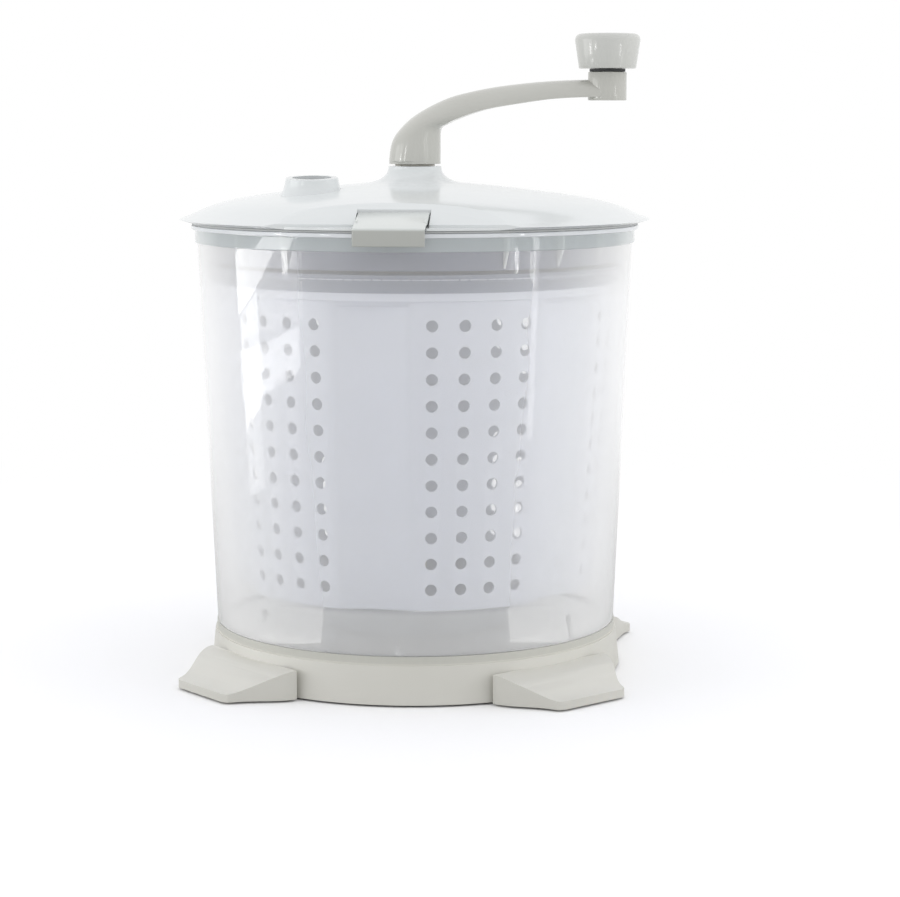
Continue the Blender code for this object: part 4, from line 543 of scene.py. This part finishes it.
# the outer skin from the floor to the flange, then one wall of thickness inwards
def flutedBasket():
    start = basketRadius(basketBottom) - basket["edge"]
    piece = startFrom(bpy.ops.mesh.primitive_circle_add, vertices=basket["segments"], radius=start,
            location=(0, 0, basketBottom), rotation=(0, 0, math.radians(basket["startTurn"])), fill_type="NGON")
    editPiece(piece)
    pressFlutes(piece, basketBottom, True)
    bend, edgeTop = basket["edge"] * basket["edgeBend"], basketBottom + basket["edge"]
    growAlong([(start, basketBottom), (basketRadius(basketBottom + bend) - bend, basketBottom + bend),
            (basketRadius(edgeTop), edgeTop), (basketRadius(fluteTop), fluteTop),
            (basketRadius(neckBottom), neckBottom)])
    pressFlutes(piece, neckBottom, False)
    growAlong([(basketRadius(neckBottom), neckBottom), (basket["neckRadius"], neckBottom + basket["neckCurve"]),
            (basket["neckRadius"], basketHigh.z), (basket["flangeRadius"], basketHigh.z)])
    bpy.ops.mesh.delete(type="FACE")
    deselect()
    addModifier(piece, "SOLIDIFY", thickness=basket["wall"], offset=-1.0, use_even_offset=True)
    return piece


# one column of hole cutters that leans with the wall, copied to every column
def holeCutters():
    firstZ = basketBottom + basket["firstRow"]
    column = rodAt((0, -basketRadius(firstZ), firstZ), basket["holeRadius"], basket["cutterLength"], 20,
            (math.pi / 2 + math.atan(basket["taper"]), 0, 0))
    addModifier(column, "ARRAY", count=basket["rows"], use_relative_offset=False, use_constant_offset=True,
            constant_offset_displace=(0, -basket["taper"] * basket["rowPitch"], basket["rowPitch"]))
    offsets = [(number - (basket["columns"] - 1) / 2) * basket["columnPitch"] for number in range(basket["columns"])]
    return joinPieces(turnedCopies(column, [basket["firstPanel"] + panelAngle * panel + offset
            for panel in range(basket["panels"]) for offset in offsets]))


basketBody = flutedBasket()
cutWith(basketBody, holeCutters())
finishPiece(basketBody, "basket_moulding", "basket", ["wash_basket"], basketPlastic)
print("basket done")


# drive plate

plate = {"rimHeight": 0.0046, "thickness": 0.0022, "gap": 0.0003, "spigotWall": 0.0022, "spigotDepth": 0.008,
        "spigotPlay": 0.0006, "holes": 12, "holeRadius": 0.014, "holeRing": 0.08, "cutterLength": 0.01,
        "hubRadius": 0.0155, "hubTopRadius": 0.0094, "hubFoot": 0.0072, "rounding": 0.0004}
plateRim = basketHigh.z + plate["gap"]
plateTop = plateRim + plate["rimHeight"]
plateUnder = plateTop - plate["thickness"]
plateFoot = plateRim - plate["spigotDepth"]
plateOutside = basket["neckRadius"] - basket["wall"] - plate["spigotPlay"]
plateInside = plateOutside - plate["spigotWall"]
plateBody = turnedPiece([(plate["hubRadius"], plateLow.z + plate["hubFoot"]), (plate["hubRadius"], plateUnder),
    (plateInside, plateUnder), (plateInside, plateFoot), (plateOutside, plateFoot), (plateOutside, plateRim),
    (basket["flangeRadius"], plateRim), (basket["flangeRadius"], plateTop), (plate["hubRadius"], plateTop),
    (plate["hubTopRadius"], plateHigh.z)])
firstHole = rodAt((0, -plate["holeRing"], plateTop), plate["holeRadius"], plate["cutterLength"], 40)
cutWith(plateBody, joinPieces(turnedCopies(firstHole, [360 * k / plate["holes"] for k in range(plate["holes"])])))
roundEdges(plateBody, plate["rounding"], 2, 40)
finishPiece(plateBody, "drive_plate_moulding", "crank", ["drive_plate"], slatePlastic)
print("drive plate done")


# lid

lid = {"radius": 0.1650, "wall": 0.0022, "edgeRise": 0.0019, "ledge": 0.0016, "ledgeRadius": 0.1585,
       "spigotRadius": 0.1435, "spigotDepth": 0.0266, "overrun": 0.004, "rounding": 0.0005,
       "facetFront": 0.1420, "facetRise": 0.0018, "facetSlope": 0.6, "facetRoof": 1.17,
       "pocketBack": 0.1240, "pocketFront": 0.1435, "pocketWidth": 0.0486, "lipStart": 0.1266, "lipRise": 0.0087,
       "notchWidth": 0.0482, "notchMiddle": 0.1620, "notchDepth": 0.0176, "notchHeight": 0.012,
       "roofRadii": (0.125, 0.1, 0.06, 0.028), "roofEase": 0.0003, "roofOverlap": 0.001,
       "bossRise": 0.0111, "bossRadius": 0.0186, "tubeRadius": 0.0135, "tubeLength": 0.0275,
       "bore": 0.0103, "boreOverrun": 0.01}
gusset = {"count": 8, "start": 30, "reach": 0.1496, "thickness": 0.0018, "shoulder": 0.0133, "depth": 0.0258,
        "rootTop": 0.0004, "rootBack": 0.0011, "toe": 0.0005, "rounding": 0.0003}
inlet = {"place": (-0.0660, -0.0470), "sink": 0.0048, "lean": 4, "radius": 0.0135, "boreLength": 0.034,
        "topRadius": 0.0180, "footRadius": 0.0235, "rise": 0.0095}
lug = {"offset": 0.0185, "radius": 0.0023, "length": 0.004, "width": 0.0046, "sink": 0.0005,
       "pivotDistance": 0.1330, "pivotRise": 0.0029}
flangeBelow = lidLow.z + lid["spigotDepth"]
ledgeTop = flangeBelow + lid["ledge"]
lidEdge = flangeBelow + lid["edgeRise"]
facetEdge = ledgeTop + lid["facetRise"]
bossFootZ = lidHigh.z - lid["bossRise"]

# dome from the boss to the rim, as (radius, height above the rim)
domeTable = [
        (0.0280, 0.0254), (0.0440, 0.02395), (0.0597, 0.0225), (0.0800, 0.0201), (0.1000, 0.0176),
        (0.1130, 0.0159), (0.1251, 0.0138), (0.1394, 0.0104), (0.1505, 0.0062), (0.1581, 0.0027),
        (0.1643, 0.0005), (0.1650, 0.0)]
domeRings = (0.1643, 0.1615, 0.1581, 0.1545, 0.1505, 0.145, 0.1394, 0.132, 0.1251, 0.113, 0.1, 0.08, 0.0597, 0.044)
# the boss's flared foot from the top down, as (radius, height above the boss's foot)
bossTable = [
        (0.01865, 0.0104), (0.0188, 0.0090), (0.0191, 0.0078), (0.0196, 0.0066), (0.0203, 0.0055),
        (0.0212, 0.0045), (0.0223, 0.0035), (0.0237, 0.0026), (0.0254, 0.0017), (0.0274, 0.0009),
        (0.0297, 0.0002), (0.0325, -0.0004)]
# the collar's flare, as shares of the way out to its foot and up to its top
flareTable = [
        (1.0, -0.34), (0.80, -0.23), (0.62, -0.11), (0.47, 0.02), (0.34, 0.16), (0.23, 0.32), (0.14, 0.50),
        (0.075, 0.68), (0.035, 0.85), (0.0, 0.95), (-0.08, 1.0)]


def domeHeight(radius):
    return lidEdge + smoothBetween(domeTable, radius)[0]


# a turned block, kept only beyond an upright plane across the front or back
def bayCutter(side):
    inner, beyond, below = lid["radius"] / 2, lid["radius"] + lid["overrun"], flangeBelow - lid["overrun"]
    block = turnedPiece([(inner, ledgeTop), (lid["ledgeRadius"], ledgeTop), (lid["ledgeRadius"], below),
            (beyond, below), (beyond, lidHigh.z), (inner, lidHigh.z)], segments=180, hollow=True)
    keepSide(block, (0, side * lid["facetFront"], 0), (0, side, 0))
    return block


# a block in front or behind that keeps only what is above the facet's slope
def facetCutter(side):
    near, far = sorted((side * lid["pocketBack"] / 2, side * (lid["facetFront"] + lid["facetRise"] / 2)))
    block = boxBetween((-lid["radius"], near, ledgeTop), (lid["radius"], far, lidHigh.z))
    keepSide(block, (0, side * lid["facetFront"], facetEdge), (0, side * lid["facetSlope"], 1))
    return block


# the recess in a facet that a latch sits in, grown by one margin on every side
def pocketBlock(side, margin, bottom, start=lid["pocketBack"], top=lidHigh.z):
    near, far = sorted((side * (start - margin), side * (lid["radius"] if margin else lid["pocketFront"])))
    half = lid["pocketWidth"] / 2 + margin
    return boxBetween((-half, near, bottom), (half, far, top))


lidBody = turnedPiece([
    (lid["spigotRadius"], lidLow.z), (lid["spigotRadius"], flangeBelow), (lid["ledgeRadius"], flangeBelow),
    (lid["radius"], lidEdge)] + [(radius, domeHeight(radius)) for radius in domeRings]
    + [(radius, bossFootZ + rise) for radius, rise in reversed(bossTable)] + [(lid["bossRadius"], lidHigh.z)],
    segments=180)
for side in (-1, 1):
    cutWith(lidBody, bayCutter(side))
    cutWith(lidBody, facetCutter(side))
    cutWith(lidBody, pocketBlock(side, 0, ledgeTop, top=ledgeTop + lid["lipRise"]))
    cutWith(lidBody, pocketBlock(side, 0, ledgeTop + lid["lipRise"] / 2, start=lid["lipStart"]))

inletX, inletY = inlet["place"]
inletZ = domeHeight(math.hypot(inletX, inletY))


# leans a piece that stands at the origin a little to the front and moves it to the pouring hole
def onInlet(piece):
    editWhole(piece)
    turnSelection(math.radians(inlet["lean"]), "X")
    moveBy((inletX, inletY, inletZ))
    deselect()
    return piece


# pouring collar, its flared foot sunk in the slope
flareRun = inlet["footRadius"] - inlet["topRadius"]
cutWith(lidBody, onInlet(turnedPiece([(inlet["footRadius"], -inlet["sink"])] + [
    (inlet["topRadius"] + flareRun * out, inlet["rise"] * up) for out, up in flareTable], segments=96)), "UNION")

# the hollow inside: the spigot, then the room under the dome, which stays clear of facets and pockets
insideRadius = lid["spigotRadius"] - lid["wall"]
hollowRadius, hollowFloor = insideRadius - lid["roofEase"], ledgeTop - lid["wall"]
cutWith(lidBody, turnedPiece([(insideRadius, lidLow.z - lid["overrun"]),
        (insideRadius, hollowFloor)], segments=180))
hollow = turnedPiece([(hollowRadius, hollowFloor - lid["roofOverlap"])] + [
    (radius, domeHeight(radius) - lid["wall"]) for radius in (hollowRadius,) + lid["roofRadii"]], segments=180)
for side in (-1, 1):
    keepSide(hollow, (0, side * (lid["facetFront"] - lid["wall"]), 0), (0, side, 0), ahead=False)
    keepSide(hollow, (0, side * lid["facetFront"], facetEdge - lid["facetRoof"] * lid["wall"]),
            (0, side * lid["facetSlope"], 1), ahead=False)
    cutWith(hollow, pocketBlock(side, lid["wall"], lidLow.z))
cutWith(lidBody, hollow)

cutWith(lidBody, rodAt((0, 0, (bossFootZ + lidHigh.z - lid["tubeLength"]) / 2), lid["tubeRadius"],
        bossFootZ - lidHigh.z + lid["tubeLength"]), "UNION")
cutWith(lidBody, rodAt((0, 0, lidHigh.z - lid["tubeLength"] / 2), lid["bore"], lid["tubeLength"] + lid["boreOverrun"]))
cutWith(lidBody, onInlet(rodAt((0, 0, 0), inlet["radius"], inlet["boreLength"], 96)))
for side in (-1, 1):
    cutWith(lidBody, boxAt((0, side * lid["notchMiddle"], ledgeTop),
            (lid["notchWidth"], lid["notchDepth"], lid["notchHeight"])))
roundEdges(lidBody, lid["rounding"], 2, 30)


# one gusset: an upright rib outside the spigot, its lower outer corner drawn in
def oneGusset():
    top, shoulder = flangeBelow + gusset["rootTop"], flangeBelow - gusset["shoulder"]
    bottom = flangeBelow - gusset["depth"]
    inner, outer = lid["spigotRadius"] - gusset["rootBack"], gusset["reach"]
    rib = boxAt((0, -(inner + outer) / 2, (top + shoulder) / 2), (gusset["thickness"], outer - inner, top - shoulder))
    editPiece(rib, "FACE")
    selectWhere(rib, lambda centre, normal: normal.z < -0.9)
    extrudeBy((0, 0, bottom - shoulder))
    resizeBy((1, (lid["spigotRadius"] + gusset["toe"] - inner) / (outer - inner), 1), (0, -inner, bottom))
    deselect()
    roundEdges(rib, gusset["rounding"], 2, 30)
    return rib


gussetStep = (180 - 2 * gusset["start"]) / (gusset["count"] - 1)
azimuths = [gusset["start"] + gussetStep * k for k in range(gusset["count"])]
ribs = turnedCopies(oneGusset(), [side * azimuth for side in (-1, 1) for azimuth in azimuths])

# two lugs on each ledge that carry a latch's pin, a round one on a square foot
pivotZ, lugFoot = ledgeTop + lug["pivotRise"], ledgeTop - lug["sink"]
lugs = []
for y in (-lug["pivotDistance"], lug["pivotDistance"]):
    for x in (-lug["offset"], lug["offset"]):
        lugs += [rodAt((x, y, pivotZ), lug["radius"], lug["length"], 32, (0, math.pi / 2, 0)),
                boxAt((x, y, (pivotZ + lugFoot) / 2), (lug["length"], lug["width"], pivotZ - lugFoot))]
lidBody = joinPieces([lidBody] + ribs + lugs)
finishPiece(lidBody, "lid_moulding", "lid", ["lid_shell"], lidPlastic, 16)

ring = {"width": 0.006, "rounding": 0.0003}
gasketInside = gasketHigh.x - ring["width"]
gasket = turnedPiece([(gasketInside, gasketLow.z), (gasketHigh.x, gasketLow.z),
        (gasketHigh.x, gasketHigh.z), (gasketInside, gasketHigh.z)], hollow=True)
roundEdges(gasket, ring["rounding"], 2, 40)
finishPiece(gasket, "lid_gasket_ring", "lid", ["lid_gasket"], paleRubber)
print("lid done")


# latches

latch = {"width": 0.0470, "plate": 0.0019, "face": 0.0022, "backDistance": 0.1280, "backRise": 0.0093,
        "foldDrop": 0.0002, "reach": 0.0053, "bar": 0.001, "rounding": 0.0008,
        "wall": 0.0020, "wallInset": 0.0002, "wallDistance": 0.1400, "wallRise": 0.0045, "wallLength": 0.020,
        "wallHeight": 0.006, "wallSplit": 0.003}
# a side wall's corners as (in front, above the split, how far it is lifted), so that it follows the flap
wallLifts = [(True, True, -0.0030), (True, False, -0.0003), (False, False, 0.0005)]


# an angled flap: a bar along the pin at the back edge, drawn out to the fold and then down
def latchFlap(side):
    half, front = latch["width"] / 2, -latchLow.y
    backZ, foldZ = ledgeTop + latch["backRise"], ledgeTop - latch["foldDrop"]
    slope = (backZ - foldZ) / (front - latch["backDistance"])
    run = front - latch["backDistance"] - latch["bar"]
    flap = boxAt((0, -latch["backDistance"] - latch["bar"] / 2, backZ - latch["plate"] / 2),
            (latch["width"], latch["bar"], latch["plate"]))
    editPiece(flap, "FACE")
    selectWhere(flap, lambda centre, normal: normal.y < -0.9)
    extrudeBy((0, latch["face"] - run, -slope * (run - latch["face"])))
    extrudeBy((0, -latch["face"], -slope * latch["face"]))
    selectWhere(flap, lambda centre, normal: normal.z < -0.7 and centre.y < -(front - latch["face"]))
    extrudeBy((0, 0, -latch["bar"]))
    selectWhere(flap, lambda centre, normal: normal.z < -0.5 and centre.y < -(front - latch["face"]))
    resizeBy((1, 1, 0), (0, 0, lipBottom - latch["reach"]))
    walls = []
    for x in (-1, 1):
        wall = boxAt((x * (half - latch["wall"] / 2 - latch["wallInset"]), -latch["wallDistance"],
                ledgeTop + latch["wallRise"]), (latch["wall"], latch["wallLength"], latch["wallHeight"]))
        editPiece(wall)
        for inFront, above, lift in wallLifts:
            selectWhere(wall, lambda co: (co.y < -latch["wallDistance"]) == inFront
                    and (co.z > ledgeTop + latch["wallSplit"]) == above)
            moveBy((0, 0, lift))
        walls.append(wall)
    flap = joinPieces([flap] + walls)
    roundEdges(flap, latch["rounding"], 3, 30)
    if side > 0:
        pick(flap)
        turnSelection(math.pi)
        settle(flap)
    return flap


finishPiece(latchFlap(-1), "front_latch_flap", "latch_front", ["front_latch"], latchPlastic, 40)
finishPiece(latchFlap(1), "rear_latch_flap", "latch_rear", ["rear_latch"], latchPlastic, 40)
print("latches done")


# crank

crank = {"reach": 0.1344, "rise": 0.0582, "halfWidth": 0.0131, "ringCount": 33, "facets": 32, "flatLift": 0.35,
        "socketRadius": 0.0181, "socketLeft": 0.0040, "socketRight": 0.0246,
        "postRadius": 0.0134, "postDrop": 0.0143, "rounding": 0.0005}
# the cut along the underside: from which row of the table, in how many steps, and how far it runs past the arm
undercut = {"from": 3.0, "steps": 40, "before": 0.0004, "beyond": 0.05, "down": 0.03, "sideways": 0.03}

# along the arm: row, upper side (along, up), lower side (along, up) as shares of its reach and rise,
# width share, and how far its section has gone from round to flat underneath
armTable = [
        (0.0, 0.0000, 0.000, -0.0350, 0.000, 1.12, 0.0), (1.0, 0.0024, 0.130, -0.0220, 0.140, 1.12, 0.0),
        (2.0, 0.0173, 0.290, -0.0060, 0.300, 1.08, 0.0), (3.0, 0.0557, 0.430, 0.0040, 0.425, 0.95, 0.05),
        (4.0, 0.1099, 0.560, 0.0316, 0.465, 0.80, 0.2), (5.0, 0.1848, 0.680, 0.0929, 0.525, 0.62, 0.5),
        (6.0, 0.2774, 0.790, 0.1853, 0.595, 0.42, 0.8), (7.0, 0.3698, 0.855, 0.3009, 0.660, 0.28, 1.0),
        (8.0, 0.5108, 0.925, 0.4626, 0.715, 0.13, 1.0), (9.0, 0.7089, 0.980, 0.6591, 0.770, 0.05, 1.0),
        (10.0, 0.8852, 1.000, 0.8495, 0.792, 0.00, 1.0), (11.0, 1.0, 1.0, 1.0, 0.792, 0.00, 1.0)]
armEnd = armTable[-1][0]


def armSides(place):
    upperAlong, upperRise, lowerAlong, lowerRise, width, flat = smoothBetween(armTable, place)
    nearRun, farRun = crank["reach"] + crank["socketRadius"], crank["reach"] - crank["socketRadius"]
    upper = Vector((nearRun * upperAlong - crank["socketRadius"], 0, armLow.z + crank["rise"] * upperRise))
    lower = Vector((farRun * lowerAlong + crank["socketRadius"], 0, armLow.z + crank["rise"] * lowerRise))
    return upper, lower, crank["halfWidth"] + (crank["socketRadius"] - crank["halfWidth"]) * width, flat


# centre, half height, lean and half width of one ring; a flat section is the top of a taller ring
def armStation(place):
    upper, lower, half, flat = armSides(place)
    height = (upper - lower).length
    lift = height * (0.5 + crank["flatLift"] * max(0, min(1, flat)))
    centre = upper + (lower - upper) * (lift / height)
    return centre, lift, math.atan2((upper - lower).z, -(upper - lower).x), half


# the socket's round foot, then ring after ring leaned, squeezed and carried along the curve
def sweptArm():
    centre, lift, lean, half = armStation(0)
    arm = startFrom(bpy.ops.mesh.primitive_circle_add, (lift, half, 1), vertices=crank["facets"], radius=1,
            location=(0, 0, 0), fill_type="NGON")
    editWhole(arm)
    moveBy(centre)
    for step in range(1, crank["ringCount"] + 1):
        nextCentre, nextLift, nextLean, nextHalf = armStation(armEnd * step / crank["ringCount"])
        extrudeBy(nextCentre - centre)
        turnSelection(-lean, "Y", nextCentre)
        resizeBy((nextLift / lift, nextHalf / half, 1), nextCentre)
        turnSelection(nextLean, "Y", nextCentre)
        centre, lift, lean, half = nextCentre, nextLift, nextLean, nextHalf
    faceOutwards()
    return arm


# a curved wall along the arm's underside, drawn down and out to both sides
def undersideCutter():
    stepLength = (armEnd - undercut["from"]) / undercut["steps"]
    route = [armSides(undercut["from"] + stepLength * k)[1] for k in range(undercut["steps"])] + [armSides(armEnd)[1]]
    route = [route[0] - Vector((undercut["before"], 0, 0))] + route + [route[-1] + Vector((undercut["beyond"], 0, 0))]
    wall = startFrom(bpy.ops.mesh.primitive_plane_add, size=1, location=(0, 0, 0))
    editWhole(wall)
    bpy.ops.mesh.delete(type="ONLY_FACE")
    selectAll()
    bpy.ops.mesh.merge(type="CENTER")
    moveBy(route[0])
    for here, there in zip(route, route[1:]):
        extrudeBy(there - here)
    selectAll()
    extrudeBy((0, 0, -undercut["down"]))
    selectAll()
    moveBy((0, -undercut["sideways"], 0))
    extrudeBy((0, 2 * undercut["sideways"], 0))
    faceOutwards()
    return wall


arm = sweptArm()
addModifier(arm, "SUBSURF", levels=2, render_levels=2)
keepSide(arm, (0, 0, armLow.z), (0, 0, 1))
cutWith(arm, undersideCutter())

# the socket's own cylinder, which shows to the right of the arm's foot: made half as high again, then cut aslant
socket = rodAt((0, 0, armLow.z + crank["socketRight"] * 0.75), crank["socketRadius"], crank["socketRight"] * 1.5, 96)
leanOfTop = (crank["socketRight"] - crank["socketLeft"]) / (2 * crank["socketRadius"])
keepSide(socket, (crank["socketRadius"], 0, armLow.z + crank["socketRight"]), (-leanOfTop, 0, 1), ahead=False)
cutWith(arm, socket, "UNION")
roundEdges(arm, crank["rounding"], 2, 50)
postBottom = armLow.z + crank["rise"] - crank["postDrop"]
post = rodAt((crank["reach"], 0, (armHigh.z + postBottom) / 2), crank["postRadius"], armHigh.z - postBottom)
roundEdges(post, crank["rounding"], 2, 50)
cutWith(arm, post, "UNION")
finishPiece(arm, "crank_arm_moulding", "crank", ["crank_arm"], crankPlastic, 30)


# moves a piece built on the shaft's axis out to the knob's axis
def onKnobAxis(piece):
    pick(piece)
    moveBy((crank["reach"], 0, 0))
    settle(piece)
    return piece


washerRadii = {"bore": 0.0043, "outside": 0.0124}
washer = onKnobAxis(turnedPiece([(washerRadii["bore"], washerLow.z), (washerRadii["outside"], washerLow.z),
    (washerRadii["outside"], washerHigh.z), (washerRadii["bore"], washerHigh.z)], segments=64, hollow=True))
finishPiece(washer, "knob_washer_ring", "crank", ["knob_washer"], darkRubber)
print("crank done")


# knob; its brow is (in from the widest radius, down from the top)

knob = {"bottomRadius": 0.0198, "topRadius": 0.0227, "browHeight": 0.0042,
        "brow": [(0.0005, 0.0021), (0.0017, 0.0006), (0.0034, 0.0)], "boreRadius": 0.0046, "wellRadius": 0.0069,
        "wellFloor": 0.0154, "rounding": 0.0006, "capRadius": 0.0090, "capGap": 0.0003, "capRounding": 0.0004}
recess, recessFloor = knob["capRadius"] + knob["capGap"], capLow.z - knob["capGap"]
knobBody = onKnobAxis(turnedPiece([(knob["boreRadius"], knobLow.z), (knob["bottomRadius"], knobLow.z),
    (knob["topRadius"], knobHigh.z - knob["browHeight"])]
    + [(knob["topRadius"] - inwards, knobHigh.z - down) for inwards, down in knob["brow"]] + [
    (recess, knobHigh.z), (recess, recessFloor), (knob["wellRadius"], recessFloor),
    (knob["wellRadius"], knobLow.z + knob["wellFloor"]), (knob["boreRadius"], knobLow.z + knob["wellFloor"])],
    segments=96, hollow=True))
roundEdges(knobBody, knob["rounding"], 2, 25)
finishPiece(knobBody, "knob_moulding", "grip", ["knob"], capPlastic)
capBody = onKnobAxis(turnedPiece([(knob["capRadius"], capLow.z), (knob["capRadius"], capHigh.z)], segments=64))
roundEdges(capBody, knob["capRounding"], 2, 40)
finishPiece(capBody, "knob_cap_disc", "grip", ["knob_cap"], capPlastic)
print("knob done")


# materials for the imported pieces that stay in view

packedLooks = {"steel": steelMetal, "nylon": nylonPlastic, "pale_rubber": paleRubber, "dark_rubber": darkRubber,
        "lid_plastic": lidPlastic, "base_plastic": basePlastic, "basket_plastic": basketPlastic,
        "clear_plastic": tubPlastic}
slotOf = {part["node"]: part["material_slot"] for part in frame["record"]["subparts"]}
for name, node in cadNodes.items():
    look = packedLooks[slotOf[name]]
    if node.data.materials:
        for number in range(len(node.data.materials)):
            node.data.materials[number] = look
    else:
        node.data.materials.append(look)
print("packed pieces dressed")


# floor, light and camera

# front and back are the world's strengths, bright behind and a little darker in front, so that faces
# towards the camera are shaded; the floor fades to plain white between two distances
studio = {"front": 0.93, "back": 1.05, "above": 0.02, "colour": "FDFDFF", "floorSize": 30, "fadeFrom": 0.30,
        "fadeTo": 1.10, "paper": "FEFEFE", "paperGrain": "FBFBFB", "paperSeenByMachine": "CDCDCB"}

floor = startFrom(bpy.ops.mesh.primitive_plane_add, size=studio["floorSize"], location=(0, 0, 0))
floor.name = "studio floor"


# 1 for rays that show the background: from the camera, off gloss and through clear plastic
def directRays(add, path):
    gloss = add("Math", {"operation": "MAXIMUM"},
            {0: path.outputs["Is Camera Ray"], 1: path.outputs["Is Glossy Ray"]})
    return add("Math", {"operation": "MAXIMUM"}, {0: gloss, 1: path.outputs["Is Transmission Ray"]})


# white paper that keeps the shadow near the machine and fades to plain white further out for the camera;
# what it throws back onto the machine is a paler grey; its grain is drawn coarser than real fibres
paper = bpy.data.materials.new("matt white studio paper")
add = nodeAdder(paper)
place = add("TexCoord").outputs["Object"]
path = add("LightPath")
grain = add("TexNoise", {"Scale": 400.0, "Detail": 2}, {"Vector": place})
sheet = add("Mix", {"data_type": "RGBA", 6: studio["paper"], 7: studio["paperGrain"]}, {0: grain})
seen = add("Mix", {"data_type": "RGBA", 6: studio["paperSeenByMachine"]},
        {0: path.outputs["Is Camera Ray"], 7: sheet.outputs[2]})
reach = add("VectorMath", {"operation": "LENGTH"}, {0: place})
away = add("MapRange", {"From Min": studio["fadeFrom"], "From Max": studio["fadeTo"],
        "interpolation_type": "SMOOTHSTEP"}, {"Value": reach.outputs["Value"]})
fade = add("Math", {"operation": "MULTIPLY"}, {0: away, 1: directRays(add, path)})
matt = add("BsdfDiffuse", {}, {"Color": seen.outputs[2]})
blank = add("Emission", {"Color": "FFFFFF", "Strength": 1.0})
faded = add("MixShader", {}, {0: fade, 1: matt, 2: blank})
add("OutputMaterial", {}, {"Surface": faded})
floor.data.materials.append(paper)

world = bpy.data.worlds.new("studio")
bpy.context.scene.world = world
add = nodeAdder(world)
direction = add("SeparateXYZ", {}, {0: add("TexCoord").outputs["Generated"]})
frontness = add("MapRange", {"From Min": -1.0, "From Max": 0.5, "To Min": studio["front"],
        "To Max": studio["back"], "interpolation_type": "SMOOTHSTEP"}, {"Value": direction.outputs["Y"]})
overhead = add("MapRange", {"From Min": 0.1, "From Max": 1.0, "To Max": studio["above"]},
        {"Value": direction.outputs["Z"]})
strength = add("Math", {"operation": "ADD"}, {0: frontness, 1: overhead})
soft = add("Background", {"Color": studio["colour"]}, {"Strength": strength})
plain = add("Background", {"Color": "FFFFFF", "Strength": 1.0})
direct = directRays(add, add("LightPath"))
shown = add("MixShader", {}, {0: direct, 1: soft, 2: plain})
add("OutputWorld", {}, {"Surface": shown})


def softbox(name, place, target, width, height, power, onlyGloss=False):
    deselect()
    bpy.ops.object.light_add(type="AREA", location=place)
    lamp = bpy.context.object
    lamp.name = name
    lamp.data.shape = "RECTANGLE"
    lamp.data.size, lamp.data.size_y = width, height
    lamp.data.energy = power
    lamp.rotation_euler = (Vector(target) - Vector(place)).to_track_quat("-Z", "Y").to_euler()
    lamp.visible_diffuse = not onlyGloss
    lamp.visible_camera = not onlyGloss
    return lamp


# name, place, target, width, height, power; these cards only show as reflections
for card in [("window at the left", (-0.52, -0.20, 0.135), (0, -0.20, 0.135), 0.42, 0.055, 0.40),
        ("window's tail", (-0.52, -0.06, 0.055), (0, -0.06, 0.055), 0.12, 0.10, 0.12),
        ("right strip", (0.62, -0.28, 0.16), (0, -0.28, 0.16), 0.04, 0.30, 0.12),
        ("left strip for the crank", (-0.69, -0.40, 0.32), (0, 0, 0.37), 0.05, 0.22, 0.36),
        ("knob strip", (-0.47, -0.66, 0.38), (0, 0, 0.43), 0.06, 0.16, 0.35),
        ("right strip for the crank", (0.66, -0.45, 0.32), (0, 0, 0.37), 0.03, 0.22, 0.22)]:
    softbox(*card, onlyGloss=True)
softbox("left softbox", (-1.2, -0.35, 0.35), (0, 0, 0.2), 1.0, 0.6, 2.9)
softbox("right softbox", (1.2, -0.15, 0.35), (0, 0, 0.2), 1.0, 0.6, 2.8).visible_glossy = False
softbox("top softbox", (0.5, -0.3, 1.8), (0, 0, 0.2), 1.2, 1.2, 0.6)

# turn, pitch and yaw in degrees, focal length in pixels of a picture 900 wide
cameraFit = {"turn": 6.1, "pitch": 7.79, "yaw": 0.83, "distance": 1.7, "height": 0.386, "focal": 2404,
        "pictureWidth": 900, "sensorWidth": 36}


# the camera stands in front, a little to one side of the latch
def turnedToView(vector):
    angle = math.radians(cameraFit["turn"])
    return Vector((vector.x * math.cos(angle) - vector.y * math.sin(angle),
            vector.x * math.sin(angle) + vector.y * math.cos(angle), vector.z))


pitch, yaw = math.radians(cameraFit["pitch"]), math.radians(cameraFit["yaw"])
forward = turnedToView(Vector((math.sin(yaw) * math.cos(pitch), math.cos(yaw) * math.cos(pitch), -math.sin(pitch))))
deselect()
bpy.ops.object.camera_add(location=turnedToView(Vector((0, -cameraFit["distance"], cameraFit["height"]))))
camera = bpy.context.object
camera.rotation_euler = forward.to_track_quat("-Z", "Y").to_euler()
camera.data.sensor_width = cameraFit["sensorWidth"]
camera.data.lens = cameraFit["focal"] / cameraFit["pictureWidth"] * cameraFit["sensorWidth"]
bpy.context.scene.camera = camera
bpy.context.scene.view_settings.view_transform = "Standard"
print("studio done")
